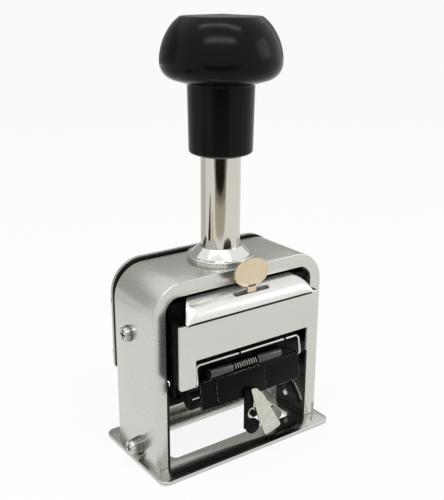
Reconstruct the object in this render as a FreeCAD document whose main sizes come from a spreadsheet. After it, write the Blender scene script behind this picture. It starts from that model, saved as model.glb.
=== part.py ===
import FreeCAD, Part
import math
import os
import re
import Sketcher
from FreeCAD import Placement, Rotation, Vector

# Automatic numbering machine, hand operated.
# Z is up and 0 at the underside of the base. The plunger's axis is X = Y = 0 and the front faces -Y.
# The carriage is modelled at the top of its travel. Sizes are millimetres, angles degrees.

doc = FreeCAD.newDocument("numbering_machine")
sheet = doc.addObject("Spreadsheet::Sheet", "Sizes")

DRIVING_SIZES = [
    # base plate with its printing window
    ("base_length", 80.0), ("base_width", 44.2), ("base_thick", 1.6), ("base_corner", 3.3),
    ("window_end", 11.8), ("window_width", 19.5), ("window_forward", 0.45), ("window_corner", 2.2),
    # cast arch frame
    ("frame_inset", 1.75), ("frame_depth", 28.4), ("frame_height", 71.7), ("leg_thick", 5.25),
    ("band_thick", 5.5), ("frame_corner", 12.5), ("arch_corner", 5.5),
    # rear cover and liner
    ("cover_inset", 0.65), ("cover_foot", 31.6), ("cover_top", 74.0), ("cover_thick", 1.2),
    ("cover_corner", 12.5), ("liner_thick", 2.0), ("liner_inset", 0.4),
    ("cover_screw_inset", 3.65), ("cover_screw_low", 37.0), ("cover_screw_high", 58.0),
    # fasteners
    ("screw_dia", 3.0), ("screw_head_thick", 2.0), ("screw_depth", 7.0), ("screw_grip", 6.0),
    ("tap_over", 0.5), ("upper_head_dia", 5.6), ("lower_head_dia", 5.6), ("cover_head_dia", 5.0),
    ("base_head_dia", 5.2), ("base_sink_dia", 5.4), ("base_screw_sunk", 0.1),
    ("washer_dia", 6.2), ("washer_thick", 0.6), ("rivet_dia", 2.0), ("rivet_head_dia", 3.2),
    ("rivet_head_thick", 0.5), ("base_screw_inset", 4.7), ("bush_flange_dia", 6.4),
    ("bush_flange_thick", 1.2), ("bush_dia", 5.0), ("bush_step_dia", 5.8), ("bush_rise", 1.8),
    ("bush_back", -2.6), ("bush_height", 7.6), ("foot_pin_dia", 2.4), ("foot_pin_rise", 1.6),
    ("foot_pin_forward", 1.0),
    # cross shaft and spring
    ("cross_shaft_dia", 5.0), ("cross_shaft_back", 3.4), ("cross_shaft_height", 50.6),
    ("seat_thick", 4.8), ("seat_skirt", 1.2), ("spring_rod_dia", 5.0), ("spring_rod_length", 26.0),
    ("spring_inner_dia", 6.6), ("spring_outer_dia", 11.0),
    # collar and plunger tube
    ("tube_dia", 14.8), ("tube_wall", 1.0), ("tube_foot", 46.4), ("tube_in_knob", 30.0),
    ("collar_dia", 25.2), ("collar_top_wall", 0.5), ("collar_rim", 0.9), ("collar_cone", 3.3),
    ("collar_spigot_wall", 0.9), ("collar_ring_dia", 23.8), ("collar_ring_thick", 1.0),
    ("tube_shown", 34.7), ("plug_length", 8.0),
    # knob
    ("knob_dia", 43.4), ("knob_height", 48.0), ("knob_neck_dia", 24.2), ("knob_foot_dia", 23.3),
    ("knob_neck_height", 24.5), ("knob_widest_height", 32.1), ("knob_under_dia", 34.0),
    ("knob_under_rise", 1.5), ("knob_shoulder_dia", 31.9), ("knob_edge", 1.9),
    ("knob_hole_dia", 2.2), ("knob_hole_depth", 3.0),
    # carriage
    ("travel", 25.0), ("side_gap", 0.4), ("side_thick", 1.4), ("side_foot", 27.5),
    ("side_foot_half", 7.0), ("side_step", 9.5), ("side_heel", 10.0), ("side_toe", 16.6),
    ("side_chin", 31.4),
    ("head_front", 18.3), ("head_rear", 12.6), ("head_foot", 50.4), ("head_top", 65.4),
    ("head_gap", 0.5), ("plate_over", 0.1), ("plate_front", 22.0), ("plate_thick", 1.2),
    ("plate_foot", 35.9), ("plate_top", 60.2), ("strip_width", 6.0), ("cutout_top", 46.1),
    ("strip_corner", 1.0),
    ("hood_inset", 3.5), ("hood_gap", 0.1), ("hood_front", 23.0), ("hood_lip", 1.0), ("hood_top", 66.6),
    ("hood_rear", 13.2), ("hood_crown", 16.5), ("hood_corner", 5.0),
    ("tab_slot_length", 16.0), ("tab_slot_width", 2.0),
    # selector tab
    ("disc_length", 15.3), ("disc_height", 10.6), ("disc_rise", 73.0), ("tab_thick", 1.0),
    ("tab_stem", 4.0), ("tab_back", 19.4), ("tab_pivot_height", 53.4), ("tab_pin_dia", 2.4),
    ("tab_pin_grip", 3.5),
    # number wheels on their shaft
    ("wheel_height", 34.25), ("wheel_dia", 18.4), ("wheel_pitch", 4.6), ("wheel_gap", 0.4),
    ("wheel_body_dia", 16.4), ("ratchet_dia", 15.2), ("ratchet_thick", 1.0), ("type_height", 3.0),
    ("type_inset", 0.2), ("type_root", 0.5), ("wheel_shaft_dia", 6.0), ("spacer_dia", 9.0),
    # pawl yoke and detents
    ("yoke_thick", 1.2), ("yoke_reach", 13.2), ("yoke_bar", 1.9), ("yoke_hub_dia", 10.0),
    ("yoke_height", 4.0), ("yoke_gap", 0.3), ("pawl_length", 1.6), ("pawl_root", 0.8),
    ("pawl_thick", 1.2),
    ("detent_rod_dia", 3.0), ("detent_forward", 9.0), ("detent_rise", 12.4), ("detent_thick", 0.4),
    ("detent_strip", 3.5), ("detent_tip", 1.0),
    # ink pad and its arms
    ("arm_gap", 0.6), ("arm_thick", 1.8), ("arm_width", 10.0), ("arm_eye_dia", 11.0),
    ("tray_thick", 1.2), ("tray_lip", 0.6), ("tray_rise", 1.0), ("pad_length", 40.0),
    ("pad_width", 8.6), ("pad_thick", 2.7), ("pad_gap", 0.5),
    ("follower_reach", 12.0), ("follower_dia", 2.6), ("follower_start", 2.0), ("pad_swing", 84.0),
    # cam plates
    ("cam_thick", 1.0), ("cam_front", 14.0), ("cam_back", 3.0), ("cam_top", 36.0),
    ("cam_slot_gap", 0.15), ("cam_run_on", 0.4),
    # flap, its bracket, spring and bail
    ("hinge_forward", 18.8), ("hinge_height", 37.6), ("hinge_pin_dia", 1.6), ("knuckle_dia", 3.6),
    ("knuckle_left_end", 18.2), ("knuckle_right_end", 14.4), ("spring_left", 8.0),
    ("spring_right", 3.0), ("flap_inset", 7.3), ("flap_foot", 25.3), ("flap_lean", 1.9),
    ("flap_thick", 1.2), ("flap_top", 35.6), ("flap_top_forward", 19.9),
    ("leaf_left", 16.3), ("leaf_right", 6.1), ("leaf_thick", 0.5), ("leaf_corner", 3.0),
    ("leaf_margin", 0.1), ("web_inset", 0.3), ("pin_stand", 0.4),
    ("bracket_thick", 1.0), ("bracket_back", 15.8), ("bracket_foot", 33.0), ("bracket_top", 45.0),
    ("lug_width", 1.2), ("lug_dia", 3.0), ("coil_wire", 0.5), ("coil_dia", 2.55), ("coil_gap", 0.46),
    ("bail_wire", 1.05), ("bail_gap", 0.475), ("bail_height", 42.4), ("bail_foot", 34.2),
    ("bail_lean", 1.3), ("bail_bend", 1.7),
    ("catch_thick", 1.2), ("catch_inset", 2.0), ("catch_reach", 21.9), ("catch_front", 18.8),
    ("catch_heel", 1.3), ("catch_foot", 27.4), ("catch_tip", 3.2), ("catch_gap", 0.6),
    # tongue and finger lever
    ("tongue_left", 4.8), ("tongue_width", 3.8), ("tongue_top", 28.4), ("tongue_thick", 1.1),
    ("tongue_end_dia", 6.0), ("tongue_end_left", 0.9), ("tongue_end_height", 12.5),
    ("lever_thick", 0.8), ("lever_pin_left", 1.6), ("lever_pin_height", 18.7),
    ("lever_pin_dia", 1.8), ("lever_head_dia", 2.6), ("lever_head_thick", 0.6),
    ("lever_ring_dia", 4.4), ("lever_gap", 0.2),
    # rear apron
    ("apron_length", 54.0), ("apron_height", 7.8), ("apron_thick", 1.0), ("apron_margin", 1.1),
    ("apron_foot", 3.4), ("apron_rivet_inset", 5.4),
    # fits, and how far a cutting tool runs past a face
    ("running_gap", 0.05), ("clear_gap", 0.3), ("cut_over", 1.0),
]
for row, (alias, value) in enumerate(DRIVING_SIZES, start=1):
    sheet.set(f"A{row}", alias.replace("_", " "))
    sheet.set(f"B{row}", str(value))
    sheet.setAlias(f"B{row}", alias)
doc.recompute()

ALIASES = {alias for alias, value in DRIVING_SIZES}


def bound(text):
    """Turn a formula of plain size names into an expression on the sheet."""
    return re.sub(r"[a-z]+(?:_[a-z]+)*",
                  lambda word: "Sizes." + word[0] if word[0] in ALIASES else word[0], text)


def size(text):
    """The present value of a formula of size names."""
    return float(sheet.evalExpression(bound(text)))


# Formulas that several pieces share.
FRAME_TOP = "(base_thick + frame_height)"
FRAME_HALF = "(base_length / 2 - frame_inset)"
ARCH_HALF = f"({FRAME_HALF} - leg_thick)"
SIDE_OUT = f"({ARCH_HALF} - cam_thick - side_gap)"
SIDE_IN = f"({SIDE_OUT} - side_thick)"
FLAP_HALF = f"({SIDE_IN} - flap_inset)"
ARM_OUT = f"({SIDE_IN} - arm_gap)"
ARM_IN = f"({ARM_OUT} - arm_thick)"
COLLAR_TOP = f"({FRAME_TOP} + collar_ring_thick + collar_rim + collar_cone)"
KNOB_FOOT = f"({COLLAR_TOP} + tube_shown)"
TUBE_TOP = f"({KNOB_FOOT} + tube_in_knob)"
TUBE_BORE = "(tube_dia - 2 * tube_wall)"
SHAFT_SLOT = "(cross_shaft_dia / 2 + clear_gap)"
PAD_TOP = "(wheel_height - wheel_dia / 2 - pad_gap)"
TRAY_TOP = f"({PAD_TOP} - pad_thick)"
TRAY_FOOT = f"({TRAY_TOP} - tray_thick)"
TRAY_HALF = "(pad_width / 2 + clear_gap + tray_lip)"
WHEEL_COUNT = 6
WHEELS_HALF = f"({WHEEL_COUNT} * wheel_pitch / 2)"
YOKE_IN = f"({WHEELS_HALF} + yoke_gap)"
YOKE_OUT = f"({YOKE_IN} + yoke_thick)"
HALF_PLATE = f"({SIDE_OUT} + plate_over)"
PLATE_BACK = "(plate_front - plate_thick)"
BRACKET_FRONT = "(bracket_back + bracket_thick)"


NEAR = 0.1  # how close an edge's middle is to a face to count as on it


def place(thing, x="0", y="0", z="0"):
    for axis, text in zip("xyz", (x, y, z)):
        thing.setExpression(f"Placement.Base.{axis}", bound(text))
    return thing


def block(name, x, y, z):
    """A box between the given pairs of limits."""
    box = doc.addObject("Part::Box", name)
    for side, (low, high) in zip(("Length", "Width", "Height"), (x, y, z)):
        box.setExpression(side, bound(f"({high}) - ({low})"))
    return place(box, x[0], y[0], z[0])


TURNS = {"X": Rotation(Vector(0, 1, 0), 90), "Y": Rotation(Vector(1, 0, 0), -90), "Z": Rotation()}


def rod(name, axis, dia, span, centre):
    """A cylinder along an axis, between two limits, about a centre in the other two directions."""
    bar = doc.addObject("Part::Cylinder", name)
    bar.Placement = Placement(Vector(), TURNS[axis])
    bar.setExpression("Radius", bound(f"({dia}) / 2"))
    bar.setExpression("Height", bound(f"({span[1]}) - ({span[0]})"))
    spots = {"X": (span[0], *centre), "Y": (centre[0], span[0], centre[1]), "Z": (*centre, span[0])}
    return place(bar, *spots[axis])


def cone(name, axis_turn, dia_low, dia_high, span, centre):
    """A cone along Z, or along X towards either side."""
    bar = doc.addObject("Part::Cone", name)
    bar.Placement = Placement(Vector(), axis_turn)
    bar.setExpression("Radius1", bound(f"({dia_low}) / 2"))
    bar.setExpression("Radius2", bound(f"({dia_high}) / 2"))
    bar.setExpression("Height", bound(f"({span[1]}) - ({span[0]})"))
    return place(bar, centre[0], centre[1], span[0])


def join(name, parts):
    fused = doc.addObject("Part::MultiFuse", name)
    fused.Shapes = parts
    return fused


def less(name, base, tools):
    """A solid with one or more tools cut out of it."""
    tool = tools[0] if len(tools) == 1 else join(name + "_tools", tools)
    result = doc.addObject("Part::Cut", name)
    result.Base = base
    result.Tool = tool
    return result


def group(name, parts):
    """Like pieces that share one node."""
    kept = doc.addObject("Part::Compound", name)
    kept.Links = parts
    return kept


PLANES = {"Z": "XY_Plane", "Y": "XZ_Plane", "X": "YZ_Plane"}


def outline_sketch(body, axis, level, points=(), circles=()):
    """A sketch across an axis at a level, with a closed outline and circles bound to the sheet."""
    plane = next(o for o in body.Origin.OriginFeatures if o.Role == PLANES[axis])
    sketch = body.newObject("Sketcher::SketchObject", body.Name + "_sketch")
    sketch.AttachmentSupport = [(plane, "")]
    sketch.MapMode = "FlatFace"
    offset = f"-({level})" if axis == "Y" else level
    sketch.setExpression("AttachmentOffset.Base.z", bound(offset))
    spots = [Vector(size(a), size(b), 0) for a, b in points]
    count = len(spots)
    for index, spot in enumerate(spots):
        sketch.addGeometry(Part.LineSegment(spot, spots[(index + 1) % count]), False)
    for index in range(count):
        sketch.addConstraint(Sketcher.Constraint("Coincident", index, 2, (index + 1) % count, 1))
    for index, (a, b) in enumerate(points):
        fix_point(sketch, index, 1, a, b)
    for number, (a, b, dia) in enumerate(circles, start=count):
        centre = Vector(size(a), size(b), 0)
        sketch.addGeometry(Part.Circle(centre, Vector(0, 0, 1), size(dia) / 2), False)
        fix_point(sketch, number, 3, a, b)
        rule = sketch.addConstraint(Sketcher.Constraint("Diameter", number, size(dia)))
        sketch.setExpression(f"Constraints[{rule}]", bound(dia))
    return sketch


def fix_point(sketch, geometry, end, a, b):
    for kind, text in (("DistanceX", a), ("DistanceY", b)):
        rule = sketch.addConstraint(Sketcher.Constraint(kind, -1, 1, geometry, end, size(text)))
        sketch.setExpression(f"Constraints[{rule}]", bound(text))


def pad(body, axis, span, points=(), circles=()):
    """Add a slab between two levels on an axis."""
    level = span[1] if axis == "Y" else span[0]
    sketch = outline_sketch(body, axis, level, points, circles)
    slab = body.newObject("PartDesign::Pad", body.Name + "_pad")
    slab.Profile = sketch
    slab.setExpression("Length", bound(f"({span[1]}) - ({span[0]})"))
    return slab


def pocket(body, axis, span, points=(), circles=()):
    """Cut a slab between two levels on an axis, and check that it took material away."""
    doc.recompute()
    before = body.Shape.Volume
    level = span[0] if axis == "Y" else span[1]
    sketch = outline_sketch(body, axis, level, points, circles)
    hole = body.newObject("PartDesign::Pocket", body.Name + "_pocket")
    hole.Profile = sketch
    hole.setExpression("Length", bound(f"({span[1]}) - ({span[0]})"))
    doc.recompute()
    if body.Shape.Volume >= before:
        raise ValueError("nothing was cut from " + body.Label)
    return hole


def round_edges(body, radius, wanted):
    """Round the edges of the body that the test picks by their middle point and direction."""
    doc.recompute()
    names = []
    for number, edge in enumerate(body.Shape.Edges, start=1):
        middle = edge.CenterOfMass
        step = edge.Vertexes[-1].Point - edge.Vertexes[0].Point
        if step.Length > 0 and wanted(middle, step.normalize()):
            names.append(f"Edge{number}")
    last = body.Tip
    fillet = body.newObject("PartDesign::Fillet", body.Name + "_fillet")
    fillet.Base = (last, names)
    fillet.setExpression("Radius", bound(radius))
    return fillet


def part_body(name):
    return doc.addObject("PartDesign::Body", name)


def box_points(x, y):
    return [(x[0], y[0]), (x[1], y[0]), (x[1], y[1]), (x[0], y[1])]


def both(text):
    """The limits from minus to plus a formula."""
    return (f"-({text})", text)


def solid(name, shape):
    """A piece whose shape is worked out from the sheet in code."""
    thing = doc.addObject("Part::Feature", name)
    thing.Shape = shape
    thing.Placement = Placement()
    return thing


nodes = []


def keep(thing, label):
    thing.Label = label
    nodes.append(thing)
    return thing


# Base plate: a pressed plate with rounded corners, a printing window and four countersunk holes.
base = part_body("base_blank")
pad(base, "Z", ("0", "base_thick"), box_points(both("base_length / 2"), both("base_width / 2")))
round_edges(base, "base_corner", lambda m, d: abs(d.z) > 0.9)
WINDOW_HALF = "(base_length / 2 - window_end)"
WINDOW_FRONT = "(-window_width / 2 - window_forward)"
WINDOW_REAR = "(window_width / 2 - window_forward)"
pocket(base, "Z", ("0", "base_thick"),
       box_points(both(WINDOW_HALF), (WINDOW_FRONT, WINDOW_REAR)))
round_edges(base, "window_corner",
            lambda m, d: abs(d.z) > 0.9 and abs(m.x) < size(WINDOW_HALF) + NEAR
            and abs(m.y) < size("window_width / 2 + window_forward") + NEAR)
BASE_SCREW_X = f"({FRAME_HALF} - leg_thick / 2)"
BASE_SCREW_Y = "(frame_depth / 2 - base_screw_inset)"
CORNERS = [(sx, sy) for sx in ("-", "") for sy in ("-", "")]
screws = []
sinks = []
for number, (sx, sy) in enumerate(CORNERS):
    spot = (f"{sx}{BASE_SCREW_X}", f"{sy}{BASE_SCREW_Y}")
    shank = rod(f"base_shank_{number}", "Z", "screw_dia",
                ("2 * base_screw_sunk", "base_thick + screw_depth"), spot)
    head = cone(f"base_head_{number}", Rotation(), "base_head_dia", "screw_dia",
                ("base_screw_sunk", "base_thick"), spot)
    screws.append(join(f"base_screw_{number}", [shank, head]))
    sinks.append(cone(f"base_sink_{number}", Rotation(), "base_sink_dia",
                      "screw_dia + 2 * running_gap", ("0", "base_thick"), spot))
keep(less("base_drilled", base, sinks), "base_plate")
keep(group("base_screw_set", screws), "base_screws")

# Main frame: a cast arch with rounded shoulders, bored for the collar and drilled for its screws.
frame = part_body("frame_blank")
UNDER_BAND = f"({FRAME_TOP} - band_thick)"
pad(frame, "Y", both("frame_depth / 2"), [
    (f"-{FRAME_HALF}", "base_thick"), (f"-{ARCH_HALF}", "base_thick"), (f"-{ARCH_HALF}", UNDER_BAND),
    (ARCH_HALF, UNDER_BAND), (ARCH_HALF, "base_thick"), (FRAME_HALF, "base_thick"),
    (FRAME_HALF, FRAME_TOP), (f"-{FRAME_HALF}", FRAME_TOP)])
round_edges(frame, "frame_corner",
            lambda m, d: abs(d.y) > 0.9 and m.z > size(FRAME_TOP) - NEAR)
round_edges(frame, "arch_corner",
            lambda m, d: abs(d.y) > 0.9 and abs(m.z - size(UNDER_BAND)) < NEAR)
SPIGOT_DIA = "(tube_dia + 2 * running_gap + 2 * collar_spigot_wall)"
holes = [rod("frame_bore", "Z", f"{SPIGOT_DIA} + 2 * running_gap",
             (f"{UNDER_BAND} - cut_over", f"{FRAME_TOP} + cut_over"), ("0", "0"))]
for number, (sx, sy) in enumerate(CORNERS):
    holes.append(rod(f"frame_base_hole_{number}", "Z", "screw_dia + 2 * running_gap",
                     ("0", "base_thick + screw_depth + tap_over"),
                     (f"{sx}{BASE_SCREW_X}", f"{sy}{BASE_SCREW_Y}")))
SHAFT_SPOT = ("cross_shaft_back", "cross_shaft_height")
BUSH_SPOT = ("bush_back", "bush_height")
FOOT_PIN_SPOT = ("bush_back - foot_pin_forward", "base_thick + foot_pin_dia / 2 + clear_gap")
SIDES = {"left": ("-", "-1"), "right": ("", "1")}


def side_span(side, near, far):
    """Limits on X from a nearer to a farther distance, on the named side."""
    return (f"-({far})", f"-({near})") if side == "left" else (near, far)


for side in SIDES:
    for label, dia, spot in (("shaft", "screw_dia", SHAFT_SPOT), ("bush", "bush_dia", BUSH_SPOT),
                             ("foot", "foot_pin_dia", FOOT_PIN_SPOT)):
        holes.append(rod(f"frame_{label}_hole_{side}", "X", f"{dia} + 2 * running_gap",
                         side_span(side, f"{ARCH_HALF} - cut_over", f"{FRAME_HALF} + cut_over"),
                         spot))
COVER_SCREWS = [(f"{sx}({FRAME_HALF} - cover_screw_inset)", level)
                for sx in ("-", "") for level in ("cover_screw_low", "cover_screw_high")]
COVER_BACK = "(frame_depth / 2 + liner_thick + cover_thick)"
for number, spot in enumerate(COVER_SCREWS):
    holes.append(rod(f"frame_cover_hole_{number}", "Y", "screw_dia + 2 * running_gap",
                     ("frame_depth / 2 - screw_depth", "frame_depth / 2 + cut_over"), spot))
keep(less("frame_drilled", frame, holes), "main_frame")

# Rear cover over a black liner, held by four screws into the legs.


def arch_sheet(name, inset, span):
    sheet_body = part_body(name)
    half = f"({FRAME_HALF} - cover_inset - {inset})"
    pad(sheet_body, "Y", span,
        box_points(both(half), (f"cover_foot + {inset}", f"cover_top - {inset}")))
    round_edges(sheet_body, f"cover_corner - {inset}",
                lambda m, d: abs(d.y) > 0.9 and m.z > size("cover_top - 2 * liner_inset"))
    drills = [rod(f"{name}_hole_{n}", "Y", "screw_dia + 2 * running_gap",
                  ("frame_depth / 2 - cut_over", f"{COVER_BACK} + cut_over"), spot)
              for n, spot in enumerate(COVER_SCREWS)]
    return less(name + "_drilled", sheet_body, drills)


keep(arch_sheet("liner", "liner_inset", ("frame_depth / 2", "frame_depth / 2 + liner_thick")),
     "rear_liner")
keep(arch_sheet("cover", "0", ("frame_depth / 2 + liner_thick", COVER_BACK)), "rear_cover")
cover_screws = []
for number, spot in enumerate(COVER_SCREWS):
    shank = rod(f"cover_shank_{number}", "Y", "screw_dia",
                ("frame_depth / 2 - screw_depth + tap_over", COVER_BACK), spot)
    head = rod(f"cover_head_{number}", "Y", "cover_head_dia",
               (COVER_BACK, f"{COVER_BACK} + screw_head_thick"), spot)
    cover_screws.append(join(f"cover_screw_{number}", [shank, head]))
keep(group("cover_screw_set", cover_screws), "rear_cover_screws")

# Side screws: above, a washer and a screw into each end of the cross shaft; below, a stepped bush
# and a screw that hold the cam plate, with a locating pin beside the foot.
upper_screws = []
upper_washers = []
bushes = []
lower_screws = []
foot_pins = []
SCREW_IN = f"({ARCH_HALF} - screw_grip)"
for side in SIDES:
    washer_out = f"{FRAME_HALF} + washer_thick"
    ring = rod(f"washer_ring_{side}", "X", "washer_dia",
               side_span(side, FRAME_HALF, washer_out), SHAFT_SPOT)
    hole = rod(f"washer_hole_{side}", "X", "screw_dia + 2 * running_gap",
               side_span(side, f"{FRAME_HALF} - cut_over", f"{washer_out} + cut_over"), SHAFT_SPOT)
    upper_washers.append(less(f"upper_washer_{side}", ring, [hole]))
    shank = rod(f"upper_shank_{side}", "X", "screw_dia", side_span(side, SCREW_IN, washer_out),
                SHAFT_SPOT)
    head = rod(f"upper_head_{side}", "X", "upper_head_dia",
               side_span(side, washer_out, f"{washer_out} + screw_head_thick"), SHAFT_SPOT)
    upper_screws.append(join(f"upper_screw_{side}", [shank, head]))
    flange_out = f"{FRAME_HALF} + bush_flange_thick"
    bush_out = f"{flange_out} + bush_rise"
    sleeve = rod(f"bush_sleeve_{side}", "X", "bush_dia", side_span(side, ARCH_HALF, FRAME_HALF),
                 BUSH_SPOT)
    flange = rod(f"bush_flange_{side}", "X", "bush_flange_dia",
                 side_span(side, FRAME_HALF, flange_out), BUSH_SPOT)
    step = rod(f"bush_step_{side}", "X", "bush_step_dia", side_span(side, flange_out, bush_out),
               BUSH_SPOT)
    bore = rod(f"bush_bore_{side}", "X", "screw_dia + 2 * running_gap",
               side_span(side, f"{ARCH_HALF} - cut_over", f"{bush_out} + cut_over"), BUSH_SPOT)
    bushes.append(less(f"bush_{side}", join(f"bush_solid_{side}", [sleeve, flange, step]), [bore]))
    shank = rod(f"lower_shank_{side}", "X", "screw_dia",
                side_span(side, f"{ARCH_HALF} - cam_thick", bush_out), BUSH_SPOT)
    head = rod(f"lower_head_{side}", "X", "lower_head_dia",
               side_span(side, bush_out, f"{bush_out} + screw_head_thick"), BUSH_SPOT)
    lower_screws.append(join(f"lower_screw_{side}", [shank, head]))
    foot_pins.append(rod(f"foot_pin_{side}", "X", "foot_pin_dia",
                         side_span(side, ARCH_HALF, f"{FRAME_HALF} + foot_pin_rise"),
                         FOOT_PIN_SPOT))
keep(group("upper_screw_set", upper_screws), "upper_side_screws")
keep(group("upper_washer_set", upper_washers), "upper_washers")
keep(group("bush_set", bushes), "lower_bushes")
keep(group("lower_screw_set", lower_screws), "lower_side_screws")
keep(group("foot_pin_set", foot_pins), "foot_pins")

# Collar: a cone with a rim on a flat ring, its spigot lining the frame's bore for the tube.
RING_TOP = f"({FRAME_TOP} + collar_ring_thick)"
TUBE_HOLE = "(tube_dia + 2 * running_gap)"
ring = rod("ring_blank", "Z", "collar_ring_dia", (FRAME_TOP, RING_TOP), ("0", "0"))
ring_hole = rod("ring_hole", "Z", f"{SPIGOT_DIA} + 2 * running_gap",
                (f"{FRAME_TOP} - cut_over", f"{RING_TOP} + cut_over"), ("0", "0"))
keep(less("ring_cut", ring, [ring_hole]), "collar_ring")
spigot = rod("spigot", "Z", SPIGOT_DIA, (UNDER_BAND, RING_TOP), ("0", "0"))
rim = rod("collar_rim_disc", "Z", "collar_dia", (RING_TOP, f"{RING_TOP} + collar_rim"), ("0", "0"))
taper = cone("collar_taper", Rotation(), "collar_dia", f"{TUBE_HOLE} + 2 * collar_top_wall",
             (f"{RING_TOP} + collar_rim", COLLAR_TOP), ("0", "0"))
bore = rod("collar_bore", "Z", TUBE_HOLE,
           (f"{UNDER_BAND} - cut_over", f"{COLLAR_TOP} + cut_over"), ("0", "0"))
keep(less("collar_cut", join("collar_solid", [spigot, rim, taper]), [bore]), "collar")

# Cross shaft between the legs, tapped at both ends, with the spring's seat and guide rod on it.
shaft = rod("cross_shaft_bar", "X", "cross_shaft_dia", both(ARCH_HALF), SHAFT_SPOT)
taps = [rod(f"cross_tap_{side}", "X", "screw_dia + 2 * running_gap",
            side_span(side, f"{SCREW_IN} - cut_over", f"{ARCH_HALF} + cut_over"), SHAFT_SPOT)
        for side in SIDES]
keep(less("cross_shaft_tapped", shaft, taps), "cross_shaft")
SEAT_TOP = "(cross_shaft_height + seat_thick)"
SEAT_DIA = f"({TUBE_BORE} - 2 * clear_gap)"
seat = rod("seat_disc", "Z", SEAT_DIA,
           ("cross_shaft_height - cross_shaft_dia / 2 - seat_skirt", SEAT_TOP), ("0", "0"))
seat_hole = rod("seat_hole", "X", "cross_shaft_dia + 2 * running_gap", both(TUBE_BORE), SHAFT_SPOT)
keep(less("seat_cut", seat, [seat_hole]), "spring_seat")
keep(rod("guide_rod", "Z", "spring_rod_dia", (SEAT_TOP, f"{SEAT_TOP} + spring_rod_length"), ("0", "0")),
     "spring_rod")

# Return spring: hidden inside the tube, so a plain sleeve of its outer and inner size.
PLUG_FOOT = f"({TUBE_TOP} - plug_length)"
spring = rod("spring_sleeve", "Z", "spring_outer_dia",
             (f"{SEAT_TOP} + running_gap", f"{PLUG_FOOT} - running_gap"), ("0", "0"))
spring_hole = rod("spring_hole", "Z", "spring_inner_dia", (SEAT_TOP, PLUG_FOOT), ("0", "0"))
keep(less("spring_cut", spring, [spring_hole]), "return_spring")

# Rear apron: an angle riveted to the rear of the base.
APRON_BACK = "(base_width / 2 - apron_margin - apron_foot)"
APRON_FRONT = f"({APRON_BACK} - apron_thick)"
apron = part_body("apron")
pad(apron, "X", both("apron_length / 2"), [
    (APRON_FRONT, "base_thick"), (f"{APRON_BACK} + apron_foot", "base_thick"),
    (f"{APRON_BACK} + apron_foot", "base_thick + apron_thick"),
    (APRON_BACK, "base_thick + apron_thick"), (APRON_BACK, "base_thick + apron_height"),
    (APRON_FRONT, "base_thick + apron_height")])
END_RIVET = "(apron_length / 2 - apron_rivet_inset)"
APRON_RIVETS = [f"-{END_RIVET}", "0", END_RIVET]
rivet_holes = []
rivets = []
for number, x in enumerate(APRON_RIVETS):
    spot = (x, f"{APRON_BACK} + apron_foot / 2")
    foot_top = "base_thick + apron_thick"
    rivet_holes.append(rod(f"apron_hole_{number}", "Z", "rivet_dia + 2 * running_gap",
                           ("base_thick - cut_over", f"{foot_top} + cut_over"), spot))
    body_rod = rod(f"apron_rivet_shank_{number}", "Z", "rivet_dia", ("base_thick", foot_top), spot)
    head = rod(f"apron_rivet_head_{number}", "Z", "rivet_head_dia",
               (foot_top, f"{foot_top} + rivet_head_thick"), spot)
    rivets.append(join(f"apron_rivet_{number}", [body_rod, head]))
keep(less("apron_drilled", apron, rivet_holes), "rear_apron")
keep(group("apron_rivet_set", rivets), "apron_rivets")

# Cam plates on the legs' inner faces: each has the slot that swings the pad arm as the carriage
# goes down. The slot is the path of the follower, widened by its radius and a gap.


SMALL_STEP = 0.01  # for the heading of the follower's path


def follower_place(depth):
    pad_turn = math.radians(size("pad_swing")) * depth / size("travel")
    angle = math.radians(size("follower_start")) + pad_turn
    reach = size("follower_reach")
    return Vector(0, -reach * math.sin(angle), size("wheel_height") - depth - reach * math.cos(angle))


def cam_slot_face(x):
    start = -size("cam_run_on")
    end = size("travel + cam_run_on")
    half = size("follower_dia / 2 + cam_slot_gap")
    steps = 8
    near = []
    far = []
    for index in range(steps + 1):
        depth = start + (end - start) * index / steps
        spot = follower_place(depth)
        along = (follower_place(depth + SMALL_STEP) - follower_place(depth - SMALL_STEP)).normalize()
        across = Vector(0, -along.z, along.y) * half
        near.append(spot + across)
        far.append(spot - across)
    edges = []
    for row in (near, far[::-1]):
        curve = Part.BSplineCurve()
        curve.interpolate(row)
        edges.append(curve.toShape())
    ahead = (follower_place(end) - follower_place(end - SMALL_STEP)).normalize()
    behind = (follower_place(start) - follower_place(start + SMALL_STEP)).normalize()
    edges.insert(1, Part.Arc(near[-1], follower_place(end) + ahead * half, far[-1]).toShape())
    edges.append(Part.Arc(far[0], follower_place(start) + behind * half, near[0]).toShape())
    face = Part.Face(Part.Wire(edges))
    face.translate(Vector(x, 0, 0))
    return face


for side in SIDES:
    low, high = side_span(side, f"{ARCH_HALF} - cam_thick", ARCH_HALF)
    plate = Part.makeBox(size("cam_thick"), size("cam_front + cam_back"), size("cam_top - base_thick"),
                         Vector(size(low), -size("cam_front"), size("base_thick")))
    tool_start = size(low) - size("cut_over")
    tool_length = size("cam_thick + 2 * cut_over")
    slot = cam_slot_face(tool_start).extrude(Vector(tool_length, 0, 0))
    drill = Part.makeCylinder(size("screw_dia / 2 + running_gap"), tool_length,
                              Vector(tool_start, size("bush_back"), size("bush_height")),
                              Vector(1, 0, 0))
    keep(solid(f"cam_{side}", plate.cut(slot).cut(drill)), f"cam_plate_{side}")

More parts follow.
